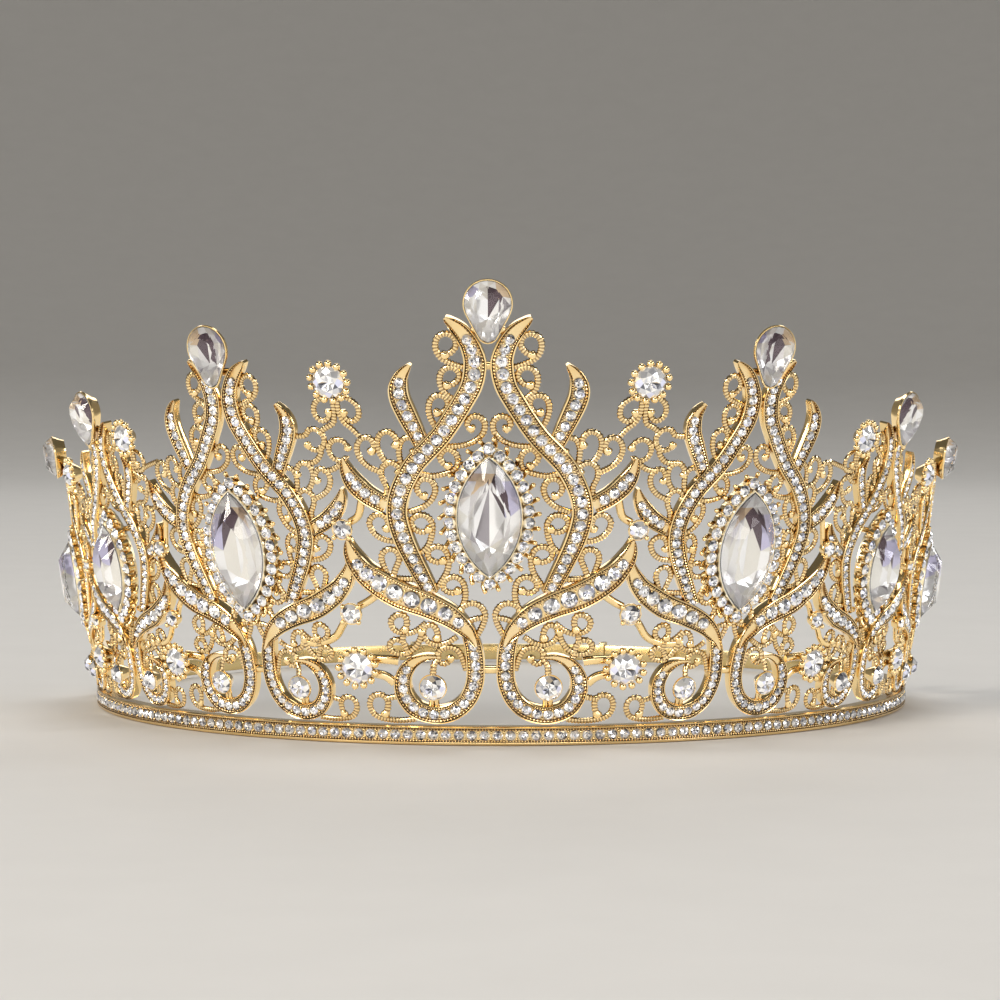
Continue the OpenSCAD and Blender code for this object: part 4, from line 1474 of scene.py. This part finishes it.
def rounded(r0, r1, z0, z1, c):
    """An oblong section with corners cut round."""
    k = c * 0.3
    return [(r0 + c, z0), (r1 - c, z0), (r1 - k, z0 + k), (r1, z0 + c), (r1, z1 - c), (r1 - k, z1 - k),
            (r1 - c, z1), (r0 + c, z1), (r0 + k, z1 - k), (r0, z1 - c), (r0, z0 + c), (r0 + k, z0 + k)]


def back_strip(r, start, end, steps, mats):
    """A plain strip whose outer face has radius r."""
    section = rounded(r - BACK_T, r, BACK_FOOT, BACK_FOOT + BACK_HIGH, 0.22)
    return turned_bar("strip", section, start, end, steps, mats)


def collar(at, r0, r1, r2, r3, mats):
    """A loop of strip at an angle that goes round the other strip: two walls, a floor and a roof."""
    half = math.degrees(0.5 / RING_R)
    low, high, top = BACK_FOOT - BACK_PLAY, BACK_FOOT + BACK_HIGH + BACK_PLAY, BACK_FOOT + BACK_HIGH + 0.6
    parts = []
    for a, b, z0, z1 in ((r0, r1, 0.0, top), (r2, r3, 0.0, top), (r0, r3, 0.0, low), (r0, r3, high, top)):
        section = rounded(a, b, z0, z1, min(0.12, (b - a) * 0.3))
        parts.append(turned_bar("collar", section, at - half, at + half, 2, mats))
    return parts


class CROWN_OT_back_band(bpy.types.Operator):
    """Builds the two plain back strips with their collars"""

    bl_idname = "crown.back_band"
    bl_label = "Back band"

    def execute(self, context):
        mats = [materials()["back"]]
        inside = BACK_INNER - BACK_T
        parts = [back_strip(BACK_OUTER, 164, 255, 90, mats)]
        parts += collar(164, inside - 0.5, inside - BACK_PLAY, BACK_OUTER - BACK_T + 0.05, BACK_OUTER + 0.5,
                        mats)
        finish_piece(join(parts, "left"), "band_back_left", "back_strip_left")
        # The right strip steps inward before it goes under the left one
        step = rounded(inside + 0.08, BACK_OUTER - 0.08, BACK_FOOT + 0.08, BACK_FOOT + BACK_HIGH - 0.08, 0.2)
        parts = [back_strip(BACK_OUTER, 105, 152, 48, mats), turned_bar("step", step, 151.2, 152.8, 3, mats),
                 back_strip(BACK_INNER, 152, 196, 45, mats)]
        parts += collar(196, inside - 0.5, BACK_INNER - 0.05, BACK_OUTER + BACK_PLAY, BACK_OUTER + 0.5, mats)
        finish_piece(join(parts, "right"), "band_back_right", "back_strip_right")
        return {"FINISHED"}


class CROWN_OT_stage(bpy.types.Operator):
    """Makes the pale floor, the soft studio light and the camera"""

    bl_idname = "crown.stage"
    bl_label = "Stage"

    def execute(self, context):
        run = [(0.0, 0.0), (0.3, 0.0), (1.1, 0.0)]
        # The floor is flat for 1.1 m and then curves up, as a studio sweep of 1.6 m radius
        run += [(1.1 + 1.6 * math.sin(t), 1.6 - 1.6 * math.cos(t))
                for t in np.linspace(0.05, math.pi / 2, 28)]
        verts, faces = [(0.0, 0.0, 0.0)], []
        sides = 64
        for r, z in run[1:]:
            verts += [(r * math.cos(2 * math.pi * i / sides), r * math.sin(2 * math.pi * i / sides), z)
                      for i in range(sides)]
        for i in range(sides):
            j = (i + 1) % sides
            faces.append((0, 1 + i, 1 + j))
            for k in range(len(run) - 2):
                a = 1 + k * sides
                faces.append((a + i, a + sides + i, a + sides + j, a + j))
        floor = mesh_object("floor", verts, faces, [floor_material()])
        activate(floor)
        bpy.ops.object.shade_smooth()
        world = bpy.data.worlds.new("studio")
        context.scene.world = world
        world.use_nodes = True
        sky = world.node_tree.nodes["Background"]
        sky.inputs["Color"].default_value = linear("D6D5D2")
        sky.inputs["Strength"].default_value = 0.17
        # Each lamp's name, place, width and height in m, power in W and colour
        lamps = [
            ("key", (-1.0, -1.25, 0.775), 0.5, 0.625, 18.75, "FFF7EC"),
            ("fill", (1.05, -0.8, 0.4), 0.35, 0.5, 4.5, "FAFAFF"),
            ("front", (0.1, -1.35, 0.24), 1.1, 0.26, 3.0, "FFFFFF"),
            ("top", (0.1, -0.1, 1.25), 0.5, 0.5, 4.5, "FFFFFF"),
            ("strip_left", (-1.15, -0.05, 0.5), 0.14, 0.5, 2.6, "FFFFFF"),
            ("strip_right", (1.15, 0.2, 0.5), 0.14, 0.5, 2.6, "FFFFFF"),
            ("back", (0.0, 1.1, 0.7), 1.0, 0.4, 3.0, "FFFFFF"),
            # A lit table, for the panels lean out over the floor
            ("table", (0.0, -0.05, 0.004), 0.84, 0.84, 0.6, "FFFFFF"),
        ]
        for name, at, wide, tall, power, colour in lamps:
            lamp = bpy.data.lights.new(name, "AREA")
            lamp.shape = "DISK" if name == "table" else "RECTANGLE"
            lamp.size = wide
            lamp.size_y = tall
            lamp.energy = power
            lamp.color = linear(colour)[:3]
            o = bpy.data.objects.new(name, lamp)
            o.location = at
            aim = Vector((0, 0, 1)) if name == "table" else Vector((0, 0, 0.035)) - Vector(at)
            o.rotation_euler = aim.to_track_quat("-Z", "Y").to_euler()
            o.visible_camera = False
            context.scene.collection.objects.link(o)
        cam = bpy.data.cameras.new("camera")
        cam.lens = 114.8
        cam.sensor_width = 36.0
        cam.clip_start = 0.02
        cam.clip_end = 20.0
        eye = bpy.data.objects.new("camera", cam)
        azimuth, elevation, away = math.radians(1.3), math.radians(2.5), 0.585
        target = Vector((0, -0.01, 0.0375))
        back = Vector((math.sin(azimuth) * math.cos(elevation), -math.cos(azimuth) * math.cos(elevation),
                       math.sin(elevation)))
        eye.location = target + back * away
        eye.rotation_euler = (-back).to_track_quat("-Z", "Y").to_euler()
        context.scene.collection.objects.link(eye)
        context.scene.camera = eye
        context.scene.view_settings.view_transform = "Standard"
        return {"FINISHED"}


class CROWN_PT_panel(bpy.types.Panel):
    """The crown's sizes, colours and buttons"""

    bl_idname = "CROWN_PT_panel"
    bl_label = "Pageant crown"
    bl_space_type = "VIEW_3D"
    bl_region_type = "UI"
    bl_category = "Crown"

    def draw(self, context):
        column = self.layout.column()
        for group in (context.scene.crown_sizes, context.scene.crown_colours):
            for name in group.__annotations__:
                column.prop(group, name)
        for op in OPERATORS:
            column.operator(op.bl_idname)


OPERATORS = (CROWN_OT_crest, CROWN_OT_large_stones, CROWN_OT_front_band, CROWN_OT_back_band, CROWN_OT_stage)
CLASSES = (CROWN_PG_sizes, CROWN_PG_colours) + OPERATORS + (CROWN_PT_panel,)


def register():
    for c in CLASSES:
        bpy.utils.register_class(c)
    bpy.types.Scene.crown_sizes = bpy.props.PointerProperty(type=CROWN_PG_sizes)
    bpy.types.Scene.crown_colours = bpy.props.PointerProperty(type=CROWN_PG_colours)


def unregister():
    del bpy.types.Scene.crown_colours
    del bpy.types.Scene.crown_sizes
    for c in reversed(CLASSES):
        bpy.utils.unregister_class(c)


def main():
    register()
    deselect()
    bpy.ops.crown.crest()
    bpy.ops.crown.large_stones()
    bpy.ops.crown.front_band()
    bpy.ops.crown.back_band()
    bpy.ops.crown.stage()


if __name__ == "__main__":
    main()
